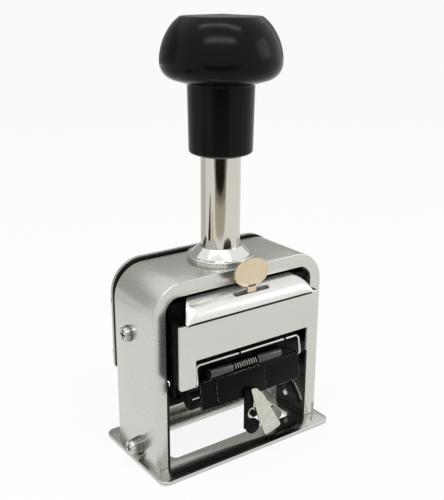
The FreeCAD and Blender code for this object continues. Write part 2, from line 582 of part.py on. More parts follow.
# Plunger tube: slotted on both sides for the cross shaft, open below, plugged above.
tube = rod("tube_bar", "Z", "tube_dia", ("tube_foot", TUBE_TOP), ("0", "0"))
tube_bore = rod("tube_bore", "Z", TUBE_BORE, ("tube_foot - cut_over", f"{TUBE_TOP} + cut_over"),
                ("0", "0"))
SLOT_TOP = "(cross_shaft_height + travel + cross_shaft_dia / 2 + clear_gap)"
SLOT_Y = (f"cross_shaft_back - {SHAFT_SLOT}", f"cross_shaft_back + {SHAFT_SLOT}")
tube_slot = block("tube_slot", both("tube_dia"), SLOT_Y, ("tube_foot - cut_over", SLOT_TOP))
keep(less("tube_cut", tube, [tube_bore, tube_slot]), "plunger_tube")
keep(rod("tube_plug", "Z", TUBE_BORE, (PLUG_FOOT, TUBE_TOP), ("0", "0")), "plunger_plug")

# Knob: a mushroom turned in one profile, bored for the tube and with a small hole in its top.


def knob_shape():
    foot_level = size(KNOB_FOOT)

    def spot(radius, height):
        return Vector(radius, 0, foot_level + height)

    def flank(end_radius, end_height):
        """An arc from the widest ring, upright there, to a ring above or below it."""
        across = widest - end_radius
        rise = end_height - widest_height
        radius = (across ** 2 + rise ** 2) / (2 * across)
        half_turn = math.asin(abs(rise) / radius) / 2
        middle = spot(widest - radius + radius * math.cos(half_turn),
                      widest_height + math.copysign(radius * math.sin(half_turn), rise))
        return Part.Arc(spot(widest, widest_height), middle, spot(end_radius, end_height)).toShape()

    widest = size("knob_dia / 2")
    widest_height = size("knob_widest_height")
    under = (size("knob_under_dia / 2"), size("knob_neck_height + knob_under_rise"))
    shoulder = (size("knob_shoulder_dia / 2"), size("knob_height - knob_edge"))
    edge_drop = size("knob_edge") * (1 - math.sqrt(0.5))
    crown = (size("knob_shoulder_dia / 2") - edge_drop, size("knob_height") - edge_drop)
    rim = (size("knob_shoulder_dia / 2 - knob_edge"), size("knob_height"))
    neck = (size("knob_neck_dia / 2"), size("knob_neck_height"))
    foot = (size("knob_foot_dia / 2"), 0)
    wire = Part.Wire(Part.sortEdges([
        Part.makeLine(spot(0, 0), spot(*foot)), Part.makeLine(spot(*foot), spot(*neck)),
        Part.makeLine(spot(*neck), spot(*under)), flank(*under), flank(*shoulder),
        Part.Arc(spot(*shoulder), spot(*crown), spot(*rim)).toShape(),
        Part.makeLine(spot(*rim), spot(0, rim[1])), Part.makeLine(spot(0, rim[1]), spot(0, 0))])[0])
    turned = Part.Face(wire).revolve(Vector(), Vector(0, 0, 1), 360)
    socket = Part.makeCylinder(size(TUBE_HOLE) / 2, size("tube_in_knob + running_gap + cut_over"),
                               Vector(0, 0, foot_level - size("cut_over")))
    dimple = Part.makeCylinder(size("knob_hole_dia / 2"), size("knob_hole_depth + cut_over"),
                               Vector(0, 0, foot_level + size("knob_height - knob_hole_depth")))
    return turned.cut(socket).cut(dimple)


keep(solid("knob_turned", knob_shape()), "knob")

# Crosshead in two blocks, before and behind the tube, so that the cross shaft passes between them.
tube_recess = rod("recess_front", "Z", TUBE_HOLE, ("head_foot - cut_over", "hood_top + cut_over"),
                  ("0", "0"))
head_low = block("head_low", both(SIDE_IN), ("-head_front", f"{SLOT_Y[0]} - head_gap"),
                 ("head_foot", "plate_top"))
head_high = block("head_high", both(SIDE_IN), ("-hood_rear", f"{SLOT_Y[0]} - head_gap"),
                  ("plate_top", "head_top"))
TAB_PIN_SPOT = ("0", "tab_pivot_height")
tab_pin_hole = rod("tab_pin_hole", "Y", "tab_pin_dia + 2 * running_gap",
                   ("-head_front - cut_over", "-head_front + tab_pin_grip + clear_gap"),
                   TAB_PIN_SPOT)
keep(less("head_front_cut", join("head_front_solid", [head_low, head_high]),
          [tube_recess, tab_pin_hole]), "crosshead_front")
rear_recess = rod("recess_rear", "Z", TUBE_HOLE, ("head_foot - cut_over", "head_top + cut_over"),
                  ("0", "0"))
head_back = block("head_back", both(SIDE_IN), (f"{SLOT_Y[1]} + head_gap", "head_rear"),
                  ("head_foot", "head_top"))
keep(less("head_rear_cut", head_back, [rear_recess]), "crosshead_rear")

# Side plates of the carriage: open slots for the cross shaft, holes for the wheel shaft, and a chin
# in front that stays clear of the pad's followers.
WHEEL_SPOT = ("0", "wheel_height")
PLATE_REAR = f"(-{PLATE_BACK})"
CHIN_BACK = "(-follower_reach - follower_dia / 2 - clear_gap)"
for side in SIDES:
    plate = part_body(f"side_blank_{side}")
    pad(plate, "X", side_span(side, SIDE_IN, SIDE_OUT), [
        (PLATE_REAR, "plate_foot + clear_gap"), ("-side_toe", "plate_foot + clear_gap"),
        ("-side_toe", "side_chin"), (CHIN_BACK, "side_chin"),
        (CHIN_BACK, "plate_foot + clear_gap"), ("-side_step", "plate_foot + clear_gap"),
        ("-side_foot_half", "side_foot"), ("side_foot_half", "side_foot"),
        ("head_rear", "side_foot + side_heel"),
        ("head_rear", "head_top"), (SLOT_Y[1], "head_top"),
        (SLOT_Y[1], f"cross_shaft_height - {SHAFT_SLOT}"),
        (SLOT_Y[0], f"cross_shaft_height - {SHAFT_SLOT}"), (SLOT_Y[0], "head_top"),
        ("-hood_rear", "head_top"), ("-hood_rear", "plate_top"), (PLATE_REAR, "plate_top")])
    hole = rod(f"side_shaft_hole_{side}", "X", "wheel_shaft_dia + 2 * running_gap",
               side_span(side, f"{SIDE_IN} - cut_over", f"{SIDE_OUT} + cut_over"), WHEEL_SPOT)
    rod_hole = rod(f"side_detent_hole_{side}", "X", "detent_rod_dia + 2 * running_gap",
                   side_span(side, f"{SIDE_IN} - cut_over", f"{SIDE_OUT} + cut_over"),
                   ("-detent_forward", "wheel_height + detent_rise"))
    keep(less(f"side_plate_{side}_drilled", plate, [hole, rod_hole]), f"side_plate_{side}")

# Front plate: a header with a leg at each side of the pad's cut-out.
front = part_body("front")
HALF_CUT = f"({HALF_PLATE} - strip_width)"
pad(front, "Y", ("-plate_front", f"-{PLATE_BACK}"), [
    (f"-{HALF_PLATE}", "plate_foot"), (f"-{HALF_CUT}", "plate_foot"), (f"-{HALF_CUT}", "cutout_top"),
    (HALF_CUT, "cutout_top"), (HALF_CUT, "plate_foot"), (HALF_PLATE, "plate_foot"),
    (HALF_PLATE, "plate_top"), (f"-{HALF_PLATE}", "plate_top")])
round_edges(front, "strip_corner",
            lambda m, d: abs(d.y) > 0.9 and m.z < size("plate_foot") + NEAR)
keep(front, "front_plate")

# Hood: a bright bar over the plate's top edge, rounded in front and at its ends, slotted for the tab.
hood = part_body("hood_bar")
HOOD_HALF = f"({HALF_PLATE} - hood_inset)"
HOOD_FOOT = "(plate_top + hood_gap)"
pad(hood, "Y", ("-hood_front", "-hood_rear"),
    box_points(both(HOOD_HALF), (HOOD_FOOT, "hood_top")))
round_edges(hood, "hood_corner",
            lambda m, d: abs(d.y) > 0.9 and m.z > size("hood_top") - NEAR)
HOOD_RISE = f"(hood_top - {HOOD_FOOT} - hood_lip)"
HOOD_RUN = "(hood_front - hood_crown)"
CUT_STEPS = 6
nose = []
for step in range(CUT_STEPS + 1):
    angle = f"{90 / CUT_STEPS * step} deg"
    nose.append((f"-hood_crown - {HOOD_RUN} * cos({angle})",
                 f"{HOOD_FOOT} + hood_lip + {HOOD_RISE} * sin({angle})"))
pocket(hood, "X", both(f"{HOOD_HALF} + cut_over"),
       nose + [("-hood_crown", "hood_top + cut_over"),
               ("-hood_front - cut_over", "hood_top + cut_over"),
               ("-hood_front - cut_over", f"{HOOD_FOOT} + hood_lip")])
pocket(hood, "Z", (HOOD_FOOT, "hood_top + cut_over"),
       box_points(both("tab_slot_length / 2"),
                  ("-tab_back - tab_slot_width / 2", "-tab_back + tab_slot_width / 2")))
keep(hood, "hood")

# Selector tab: an oval finger disc on a stem, stamped from one sheet, on a pin in the crosshead.


def tab_shape():
    thick = size("tab_thick")
    front_face = -size("tab_back") - thick / 2
    oval = Part.Ellipse(Vector(0, front_face, size("disc_rise")), size("disc_length / 2"),
                        size("disc_height / 2"))
    rim = oval.toShape()
    rim.rotate(Vector(0, front_face, size("disc_rise")), Vector(1, 0, 0), 90)
    disc = Part.Face(Part.Wire([rim])).extrude(Vector(0, thick, 0))
    stem = Part.makeBox(size("tab_stem"), thick, size("disc_rise - tab_pivot_height"),
                        Vector(-size("tab_stem / 2"), front_face, size("tab_pivot_height")))
    eye = Part.makeCylinder(size("tab_stem / 2"), thick, Vector(0, front_face, size("tab_pivot_height")),
                            Vector(0, 1, 0))
    over = size("cut_over")
    hole = Part.makeCylinder(size("tab_pin_dia / 2 + running_gap"), thick + 2 * over,
                             Vector(0, front_face - over, size("tab_pivot_height")), Vector(0, 1, 0))
    return disc.fuse([stem, eye]).removeSplitter().cut(hole)


keep(solid("tab_stamped", tab_shape()), "selector_tab")
keep(rod("tab_pin_bar", "Y", "tab_pin_dia",
         (f"-{PLATE_BACK} + running_gap", "-head_front + tab_pin_grip"), TAB_PIN_SPOT), "selector_pin")

# Wheel shaft, its spacers, and six number wheels with raised type and a ratchet each.
keep(rod("wheel_shaft_bar", "X", "wheel_shaft_dia", both(SIDE_OUT), WHEEL_SPOT), "wheel_shaft")
spacers = []
for side in SIDES:
    tube_part = rod(f"spacer_out_{side}", "X", "spacer_dia",
                    side_span(side, f"{YOKE_OUT} + running_gap", f"{ARM_IN} - running_gap"), WHEEL_SPOT)
    hole = rod(f"spacer_hole_{side}", "X", "wheel_shaft_dia + 2 * running_gap",
               side_span(side, f"{YOKE_OUT} - cut_over", f"{ARM_IN} + cut_over"), WHEEL_SPOT)
    spacers.append(less(f"spacer_{side}", tube_part, [hole]))
keep(group("spacer_set", spacers), "shaft_spacers")
WHEEL_NAMES = ["hundred_thousands", "ten_thousands", "thousands", "hundreds", "tens", "units"]
for index, wheel_name in enumerate(WHEEL_NAMES):
    wheel = part_body(f"wheel_{index}")
    start = f"(-{WHEELS_HALF} + {index} * wheel_pitch + wheel_gap / 2)"
    rim_end = f"({start} + wheel_pitch - wheel_gap - ratchet_thick)"
    bore_hole = ("0", "wheel_height", "wheel_shaft_dia + 2 * running_gap")
    pad(wheel, "X", (start, rim_end), circles=[("0", "wheel_height", "wheel_body_dia"), bore_hole])
    pad(wheel, "X", (rim_end, f"{rim_end} + ratchet_thick"),
        circles=[("0", "wheel_height", "ratchet_dia"), bore_hole])
    doc.recompute()
    type_face = pad(wheel, "X", (f"{start} + type_inset", f"{rim_end} - type_inset"),
                    box_points(both("type_height / 2"),
                               ("wheel_height - wheel_dia / 2",
                                "wheel_height - wheel_body_dia / 2 + type_root")))
    doc.recompute()
    ring_of_type = wheel.newObject("PartDesign::PolarPattern", f"wheel_{index}_type")
    ring_of_type.Originals = [type_face]
    axis_sketch = wheel.newObject("Sketcher::SketchObject", f"wheel_{index}_axis")
    axis_plane = next(o for o in wheel.Origin.OriginFeatures if o.Role == "YZ_Plane")
    axis_sketch.AttachmentSupport = [(axis_plane, "")]
    axis_sketch.MapMode = "FlatFace"
    axis_sketch.setExpression("AttachmentOffset.Base.y", bound("wheel_height"))
    ring_of_type.Axis = (axis_sketch, ["N_Axis"])
    ring_of_type.Angle = 360
    ring_of_type.Occurrences = 10
    wheel.Tip = ring_of_type
    keep(wheel, f"wheel_{wheel_name}")

# Pawl yoke: two cheeks on the shaft joined by a bar behind the wheels, and the comb pawl on it.
YOKE_LEVELS = ("wheel_height - yoke_height / 2", "wheel_height + yoke_height / 2")
PAWL_LEVELS = ("wheel_height - pawl_thick / 2", "wheel_height + pawl_thick / 2")
yoke_parts = []
for side in SIDES:
    span = side_span(side, YOKE_IN, YOKE_OUT)
    hub = rod(f"yoke_hub_{side}", "X", "yoke_hub_dia", span, WHEEL_SPOT)
    cheek = block(f"yoke_cheek_{side}", span, ("0", "yoke_reach"),
                  YOKE_LEVELS)
    yoke_parts += [hub, cheek]
yoke_parts.append(block("yoke_bar_block", both(YOKE_OUT), ("yoke_reach - yoke_bar", "yoke_reach"),
                        YOKE_LEVELS))
yoke_hole = rod("yoke_hole", "X", "wheel_shaft_dia + 2 * running_gap",
                both(f"{YOKE_OUT} + cut_over"), WHEEL_SPOT)
keep(less("yoke_drilled", join("yoke_solid", yoke_parts), [yoke_hole]), "pawl_yoke")
pawl_parts = [block("pawl_back", both(WHEELS_HALF),
                    ("yoke_reach - yoke_bar - pawl_root", "yoke_reach - yoke_bar"), PAWL_LEVELS)]
for index in range(WHEEL_COUNT):
    start = f"-{WHEELS_HALF} + {index} * wheel_pitch + wheel_gap"
    pawl_parts.append(block(f"pawl_tooth_{index}", (start, f"{start} + wheel_pitch - 2 * wheel_gap"),
                            ("yoke_reach - yoke_bar - pawl_length",
                             "yoke_reach - yoke_bar - pawl_root"), PAWL_LEVELS))
keep(join("pawl_comb", pawl_parts), "comb_pawl")

# Detents: a rod across the carriage and a comb of leaf fingers that rest on the wheels.
DETENT_Z = "(wheel_height + detent_rise)"
keep(rod("detent_bar", "X", "detent_rod_dia", both(SIDE_OUT), ("-detent_forward", DETENT_Z)),
     "detent_rod")
LEAF_TOP = f"({DETENT_Z} - detent_rod_dia / 2)"
LEAF_LEVELS = (f"{LEAF_TOP} - detent_thick", LEAF_TOP)
STRIP_FRONT = "(-detent_forward - detent_rod_dia / 2)"
STRIP_REAR = f"({STRIP_FRONT} + detent_strip)"
fingers = [block("leaf_strip", both(WHEELS_HALF), (STRIP_FRONT, STRIP_REAR), LEAF_LEVELS)]
for index in range(WHEEL_COUNT):
    start = f"-{WHEELS_HALF} + {index} * wheel_pitch + wheel_gap"
    fingers.append(block(f"leaf_finger_{index}", (start, f"{start} + wheel_pitch - 2 * wheel_gap"),
                         (STRIP_REAR, "-detent_tip"), LEAF_LEVELS))
keep(join("detent_leaf", fingers), "detent_comb")

# Pad arms on the wheel shaft, the tray between them, the ink pad, and the followers in the cams.
for side in SIDES:
    arm = part_body(f"arm_{side}")
    span = side_span(side, ARM_IN, ARM_OUT)
    pad(arm, "X", span, circles=[("0", "wheel_height", "arm_eye_dia")])
    doc.recompute()
    pad(arm, "X", span, box_points(both("arm_width / 2"), (TRAY_FOOT, "wheel_height")))
    hole = rod(f"arm_hole_{side}", "X", "wheel_shaft_dia + 2 * running_gap",
               side_span(side, f"{ARM_IN} - cut_over", f"{ARM_OUT} + cut_over"), WHEEL_SPOT)
    keep(less(f"arm_{side}_drilled", arm, [hole]), f"pad_arm_{side}")
LIP_TOP = f"({TRAY_TOP} + tray_rise)"
tray = part_body("tray")
pad(tray, "X", both(ARM_IN), [
    (f"-{TRAY_HALF}", TRAY_FOOT), (TRAY_HALF, TRAY_FOOT), (TRAY_HALF, LIP_TOP),
    (f"{TRAY_HALF} - tray_lip", LIP_TOP), (f"{TRAY_HALF} - tray_lip", TRAY_TOP),
    (f"-{TRAY_HALF} + tray_lip", TRAY_TOP), (f"-{TRAY_HALF} + tray_lip", LIP_TOP),
    (f"-{TRAY_HALF}", LIP_TOP)])
keep(tray, "pad_tray")
keep(block("felt", both("pad_length / 2"), both("pad_width / 2"), (f"{PAD_TOP} - pad_thick", PAD_TOP)),
     "ink_pad")
FOLLOWER_SPOT = ("-follower_reach * sin(follower_start * 1 deg)",
                 "wheel_height - follower_reach * cos(follower_start * 1 deg)")
keep(group("follower_set", [
    rod(f"follower_{side}", "X", "follower_dia",
        side_span(side, ARM_OUT, f"{ARCH_HALF} - clear_gap"), FOLLOWER_SPOT) for side in SIDES]),
    "cam_followers")

# Flap bracket: a cross plate between the side plates with two lugs for the hinge pin.
HINGE_SPOT = ("-hinge_forward", "hinge_height")
PIN_HOLE = "(hinge_pin_dia + 2 * running_gap)"
bracket = [block("bracket_plate", both(SIDE_IN), (f"-{BRACKET_FRONT}", "-bracket_back"),
                 ("bracket_foot", "bracket_top"))]
LUG_SPANS = [("-knuckle_left_end - clear_gap - lug_width", "-knuckle_left_end - clear_gap"),
             ("knuckle_right_end + clear_gap", "knuckle_right_end + clear_gap + lug_width")]
for number, span in enumerate(LUG_SPANS):
    bracket.append(rod(f"lug_eye_{number}", "X", "lug_dia", span, HINGE_SPOT))
    bracket.append(block(f"lug_web_{number}", span, ("-hinge_forward", f"-{BRACKET_FRONT}"),
                         ("hinge_height - lug_dia / 2 + web_inset",
                          "hinge_height + lug_dia / 2 - web_inset")))
bracket_hole = rod("bracket_pin_hole", "X", PIN_HOLE, both(HALF_PLATE), HINGE_SPOT)
keep(less("bracket_drilled", join("bracket_solid", bracket), [bracket_hole]), "flap_bracket")
keep(rod("hinge_bar", "X", "hinge_pin_dia",
         (f"{LUG_SPANS[0][0]} - pin_stand", f"{LUG_SPANS[1][1]} + pin_stand"), HINGE_SPOT),
     "flap_hinge_pin")

# Flap: a leaning black panel hung from two rolled knuckles, with a raised leaf on its front.


def leaning(front_gap, top, foot, thick):
    """A side outline of a sheet that leans with the flap, its front a gap before the panel's."""
    lean = "(flap_lean / (flap_top - flap_foot))"
    high = f"(-flap_top_forward - ({front_gap}) - {lean} * (flap_top - ({top})))"
    low = f"(-flap_top_forward - ({front_gap}) - {lean} * (flap_top - ({foot})))"
    return [(low, foot), (f"{low} + {thick}", foot), (f"{high} + {thick}", top), (high, top)]


panel = part_body("flap_panel_body")
pad(panel, "X", both(FLAP_HALF), leaning("0", "flap_top", "flap_foot", "flap_thick"))
flap_parts = [panel]
KNUCKLES = [("-knuckle_left_end", "-spring_left - clear_gap"),
            ("spring_right + clear_gap", "knuckle_right_end")]
for number, span in enumerate(KNUCKLES):
    flap_parts.append(rod(f"knuckle_{number}", "X", "knuckle_dia", span, HINGE_SPOT))
    flap_parts.append(block(f"knuckle_web_{number}", span,
                            ("-flap_top_forward", "-flap_top_forward + flap_thick"),
                            ("flap_top - web_inset", "hinge_height")))
knuckle_hole = rod("knuckle_hole", "X", PIN_HOLE, both(FLAP_HALF), HINGE_SPOT)
keep(less("flap_drilled", join("flap_solid", flap_parts), [knuckle_hole]), "flap")
leaf_outline = part_body("flap_leaf_outline")
pad(leaf_outline, "Y", ("-flap_top_forward - flap_lean - cut_over", "-flap_top_forward + cut_over"),
    box_points(("-leaf_left", "leaf_right"), ("flap_foot + leaf_margin", "flap_top - leaf_margin")))
round_edges(leaf_outline, "leaf_corner",
            lambda m, d: abs(d.y) > 0.9 and m.x > 0 and m.z > size("flap_top - leaf_margin") - NEAR)
leaf_sheet = part_body("flap_leaf_sheet")
pad(leaf_sheet, "X", both(FLAP_HALF),
    leaning("leaf_thick", "flap_top", "flap_foot", "leaf_thick"))
leaf = doc.addObject("Part::MultiCommon", "leaf_cut")
leaf.Shapes = [leaf_outline, leaf_sheet]
keep(leaf, "flap_leaf")

# Torsion spring on the hinge pin: one unbroken wire of close, even turns. Where the heading leaves
# the chord by less than STRAIGHT, the arc is a line.
STRAIGHT = 1e-9


def arc_from(start, heading, end):
    """The arc that leaves a point along a heading and ends at another point."""
    chord = end - start
    along = Vector(chord).normalize()
    side = heading - along * heading.dot(along)
    if side.Length < STRAIGHT:
        return Part.makeLine(start, end)
    bulge = chord.Length / 2 * math.tan(heading.getAngle(along) / 2)
    middle = (start + end) * 0.5 + side.normalize() * bulge
    return Part.Arc(start, middle, end).toShape()


def biarc(start, heading, end, end_heading):
    """Two arcs that meet in one tangent, between two points with given headings."""
    chord = end - start
    both_ways = heading + end_heading
    apart = 2 * (1 - heading.dot(end_heading))
    across = chord.dot(both_ways)
    reach = (math.sqrt(across ** 2 + apart * chord.dot(chord)) - across) / apart
    corner = start + heading * reach
    last_corner = end - end_heading * reach
    meet = (corner + last_corner) * 0.5
    shared = (last_corner - corner).normalize()
    return [arc_from(start, heading, meet), arc_from(meet, shared, end)]


def least_gap(spots, per_turn, wire):
    """The least clear distance between turns, on points of the wire's middle line."""
    least = min((second - first).Length
                for number, first in enumerate(spots)
                for second in spots[number + per_turn // 2:])
    return least - wire


def coil_shape():
    wire = size("coil_wire")
    radius = size("coil_dia / 2")
    low = -size("spring_left") + wire / 2
    room = size("spring_right") - wire / 2 - low
    turns = int(room / (wire + size("coil_gap")))
    pitch = room / turns
    quarter = 4
    per_turn = 32

    def spot(turn):
        angle = 2 * math.pi * turn
        return Vector(low + pitch * turn, -size("hinge_forward") - radius * math.sin(angle),
                      size("hinge_height") - radius * math.cos(angle))

    def heading(turn):
        angle = 2 * math.pi * turn
        return Vector(pitch / (2 * math.pi), -radius * math.cos(angle),
                      radius * math.sin(angle)).normalize()

    edges = []
    for number in range(turns * quarter):
        first, last = number / quarter, (number + 1) / quarter
        edges += biarc(spot(first), heading(first), spot(last), heading(last))
    section = Part.Wire([Part.makeCircle(wire / 2, spot(0), heading(0))])
    spots = [spot(number / per_turn) for number in range(turns * per_turn + 1)]
    print(f"torsion spring: {turns} turns, least gap {least_gap(spots, per_turn, wire):.3f} mm")
    return Part.Wire(edges).makePipeShell([section], True, False)


keep(solid("coil", coil_shape()), "torsion_spring")

# Wire bail: a bent wire frame over the flap, its ends turned back into the bracket.


def bail_shape():
    half = size(f"{FLAP_HALF} + bail_gap + bail_wire / 2")
    bend = size("bail_bend")
    front_top = -size("hinge_forward")
    front_foot = front_top - size("bail_lean")
    back = -size(BRACKET_FRONT)
    top = size("bail_height")
    foot = size("bail_foot")
    corners = [Vector(-half, back, foot), Vector(-half, front_foot, foot), Vector(-half, front_top, top),
               Vector(half, front_top, top), Vector(half, front_foot, foot), Vector(half, back, foot)]
    edges = []
    last = corners[0]
    for before, corner, after in zip(corners, corners[1:], corners[2:]):
        to_corner = (corner - before).normalize()
        from_corner = (after - corner).normalize()
        turn = to_corner.getAngle(from_corner)
        reach = bend * math.tan(turn / 2)
        begin = corner - to_corner * reach
        end = corner + from_corner * reach
        inward = (from_corner - to_corner).normalize()
        middle = corner + inward * (bend / math.cos(turn / 2) - bend)
        edges.append(Part.makeLine(last, begin))
        edges.append(Part.Arc(begin, middle, end).toShape())
        last = end
    edges.append(Part.makeLine(last, corners[-1]))
    path = Part.Wire(edges)
    section = Part.Wire([Part.makeCircle(size("bail_wire / 2"), corners[0], Vector(0, -1, 0))])
    return path.makePipeShell([section], True, False)


keep(solid("bail", bail_shape()), "wire_bail")

# Catch arm: a black cranked arm behind the left strip, its tip turned in beside the flap.
CATCH_OUT = f"({SIDE_IN} - catch_inset)"
CATCH_IN = f"({FLAP_HALF} + catch_gap)"
CATCH_BACK = f"(-{BRACKET_FRONT} + catch_heel)"
catch = part_body("catch")
pad(catch, "X", (f"-{CATCH_OUT}", f"-{CATCH_OUT} + catch_thick"), [
    (f"-{BRACKET_FRONT}", "bracket_top"), (f"-{BRACKET_FRONT}", "bracket_foot"),
    (CATCH_BACK, "bracket_foot"), (CATCH_BACK, "catch_foot + catch_tip"),
    ("-catch_front", "catch_foot"), ("-catch_reach", "catch_foot"),
    ("-catch_reach", "catch_foot + catch_tip"), ("-catch_front", "catch_foot + 2 * catch_tip"),
    ("-catch_front", "bracket_top")])
doc.recompute()
pad(catch, "X", (f"-{CATCH_OUT}", f"-{CATCH_IN}"),
    box_points(("-catch_reach", "-catch_reach + cut_over"), ("catch_foot", "catch_foot + catch_tip")))
keep(catch, "catch_arm")

# Release tongue riveted on the flap: it leans with the flap, then hangs straight to a round end.
TONGUE_BACK = "(-(flap_top_forward + flap_lean + leaf_thick))"
TONGUE_FRONT = f"({TONGUE_BACK} - tongue_thick)"
tongue_side = part_body("tongue_side")
low_front, low_back, high_back, high_front = leaning("leaf_thick + tongue_thick", "tongue_top",
                                                     "flap_foot", "tongue_thick")
TONGUE_FOOT = "(tongue_end_height - tongue_end_dia / 2)"
pad(tongue_side, "X", both(FLAP_HALF), [
    (low_front[0], TONGUE_FOOT), (low_back[0], TONGUE_FOOT), low_back, high_back, high_front, low_front])
tongue_face = part_body("tongue_face")
TONGUE_SPAN = (f"{TONGUE_FRONT} - cut_over", f"{TONGUE_BACK} + flap_lean")
pad(tongue_face, "Y", TONGUE_SPAN, box_points(("-tongue_left", "-tongue_left + tongue_width"),
                                              ("tongue_end_height", "tongue_top")))
doc.recompute()
pad(tongue_face, "Y", TONGUE_SPAN,
    circles=[("-tongue_end_left", "tongue_end_height", "tongue_end_dia")])
tongue_blank = doc.addObject("Part::MultiCommon", "tongue_blank")
tongue_blank.Shapes = [tongue_side, tongue_face]
LEVER_SPOT = ("-lever_pin_left", "lever_pin_height")
tongue_hole = rod("tongue_hole", "Y", "lever_pin_dia + 2 * running_gap", TONGUE_SPAN, LEVER_SPOT)
keep(less("tongue_drilled", tongue_blank, [tongue_hole]), "release_tongue")

# Finger lever on its pin before the tongue: a stepped plate with a second ear behind its edge.
LEVER_BACK = f"({TONGUE_FRONT} - lever_gap)"
LEVER_FRONT = f"({LEVER_BACK} - lever_thick)"
# Outlines as steps from the pin: to the right, and up.
PLATE_OUTLINE = [(-0.9, 10.1), (1.3, 9.8), (3.0, 8.5), (6.2, 5.2), (9.8, -1.1), (13.0, -8.1),
                 (12.2, -9.8), (7.4, -10.5), (5.6, -9.3), (2.9, -3.7), (1.2, 2.2), (-0.2, 6.7)]
EAR_OUTLINE = [(5.0, 6.6), (6.9, 6.5), (9.3, 5.1), (11.4, 2.3), (11.5, -1.1), (14.6, -3.5),
               (18.2, -6.8), (18.2, -8.8), (13.7, -7.6), (8.6, -4.7), (5.0, 0.3)]


def from_pin(outline):
    return [(f"-lever_pin_left + {right}", f"lever_pin_height + {up}") for right, up in outline]


lever_plate = part_body("lever_plate")
pad(lever_plate, "Y", (LEVER_FRONT, LEVER_BACK), from_pin(PLATE_OUTLINE))
lever_ring = rod("lever_ring", "Y", "lever_ring_dia", (LEVER_FRONT, LEVER_BACK), LEVER_SPOT)
lever_ear = part_body("lever_ear")
pad(lever_ear, "Y", (LEVER_BACK, f"{LEVER_BACK} + lever_thick"), from_pin(EAR_OUTLINE))
lever_hole = rod("lever_hole", "Y", "lever_pin_dia + 2 * running_gap",
                 (f"{LEVER_FRONT} - cut_over", f"{LEVER_BACK} + cut_over"), LEVER_SPOT)
keep(less("lever_drilled", join("lever_solid", [lever_plate, lever_ring, lever_ear]), [lever_hole]),
     "finger_lever")
pin_shank = rod("lever_pin_shank", "Y", "lever_pin_dia", (LEVER_FRONT, TONGUE_BACK), LEVER_SPOT)
pin_head = rod("lever_pin_head", "Y", "lever_head_dia",
               (f"{LEVER_FRONT} - lever_head_thick", LEVER_FRONT), LEVER_SPOT)
keep(join("lever_pin_solid", [pin_shank, pin_head]), "finger_lever_pin")

# Build, check every object and write one file for each piece.
doc.recompute()
for thing in doc.Objects:
    if "Invalid" in thing.State or "Error" in thing.State:
        raise ValueError(f"{thing.Label} failed to build")
os.makedirs("parts", exist_ok=True)
for thing in nodes:
    if thing.Shape.isNull() or not thing.Shape.isValid():
        raise ValueError(f"{thing.Label} has no valid shape")
    thing.Shape.exportStep(f"parts/{thing.Label}.step")
print(f"{len(nodes)} pieces written")
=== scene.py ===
import math

import bpy
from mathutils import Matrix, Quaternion, Vector


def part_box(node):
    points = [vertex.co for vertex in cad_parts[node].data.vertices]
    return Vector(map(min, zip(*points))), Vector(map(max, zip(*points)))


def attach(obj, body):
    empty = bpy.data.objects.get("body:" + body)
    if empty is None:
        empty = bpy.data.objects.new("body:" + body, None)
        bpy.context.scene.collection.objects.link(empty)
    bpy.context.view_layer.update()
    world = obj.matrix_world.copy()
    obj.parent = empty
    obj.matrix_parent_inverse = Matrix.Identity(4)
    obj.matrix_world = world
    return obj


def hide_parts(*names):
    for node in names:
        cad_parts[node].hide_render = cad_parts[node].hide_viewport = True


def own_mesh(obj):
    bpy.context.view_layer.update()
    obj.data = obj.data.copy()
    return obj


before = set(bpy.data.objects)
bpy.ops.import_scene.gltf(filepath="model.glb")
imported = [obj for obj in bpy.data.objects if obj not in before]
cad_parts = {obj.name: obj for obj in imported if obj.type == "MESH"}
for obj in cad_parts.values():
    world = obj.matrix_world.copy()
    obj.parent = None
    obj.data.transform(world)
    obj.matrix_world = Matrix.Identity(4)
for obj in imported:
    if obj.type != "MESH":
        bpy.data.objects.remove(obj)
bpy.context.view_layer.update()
for stray in [thing for thing in bpy.data.objects if thing.type in {"LIGHT", "CAMERA"}]:
    bpy.data.objects.remove(stray)
MM = 0.001

# Main frame: one cast arch with rounded shoulders, bored for the collar and drilled at the sides,
# ground flat all over, then nickel plated and finely brushed. It stands on the base plate.


def linear(hex_colour):
    """An sRGB hex value as the linear colour that a shader takes."""
    parts = [int(hex_colour[at:at + 2], 16) / 255 for at in (1, 3, 5)]
    return [c / 12.92 if c <= 0.04045 else ((c + 0.055) / 1.055) ** 2.4 for c in parts] + [1.0]


def add(tree, kind, sockets=None, **settings):
    """Add a node with its settings; a socket's value is a number, a colour or another node's output."""
    node = tree.nodes.new(kind)
    for name, value in settings.items():
        setattr(node, name, value)
    for name, value in (sockets or {}).items():
        if isinstance(value, bpy.types.NodeSocket):
            tree.links.new(value, node.inputs[name])
        else:
            node.inputs[name].default_value = value
    return node


def new_finish(name, **sockets):
    """A material with its shader, whose plain values stand on the shader's own sockets."""
    material = bpy.data.materials.new(name)
    material.use_nodes = True
    shader = material.node_tree.nodes["Principled BSDF"]
    for socket, value in sockets.items():
        shader.inputs[socket.replace("_", " ").title().replace("Ior", "IOR")].default_value = value
    return material, material.node_tree, shader


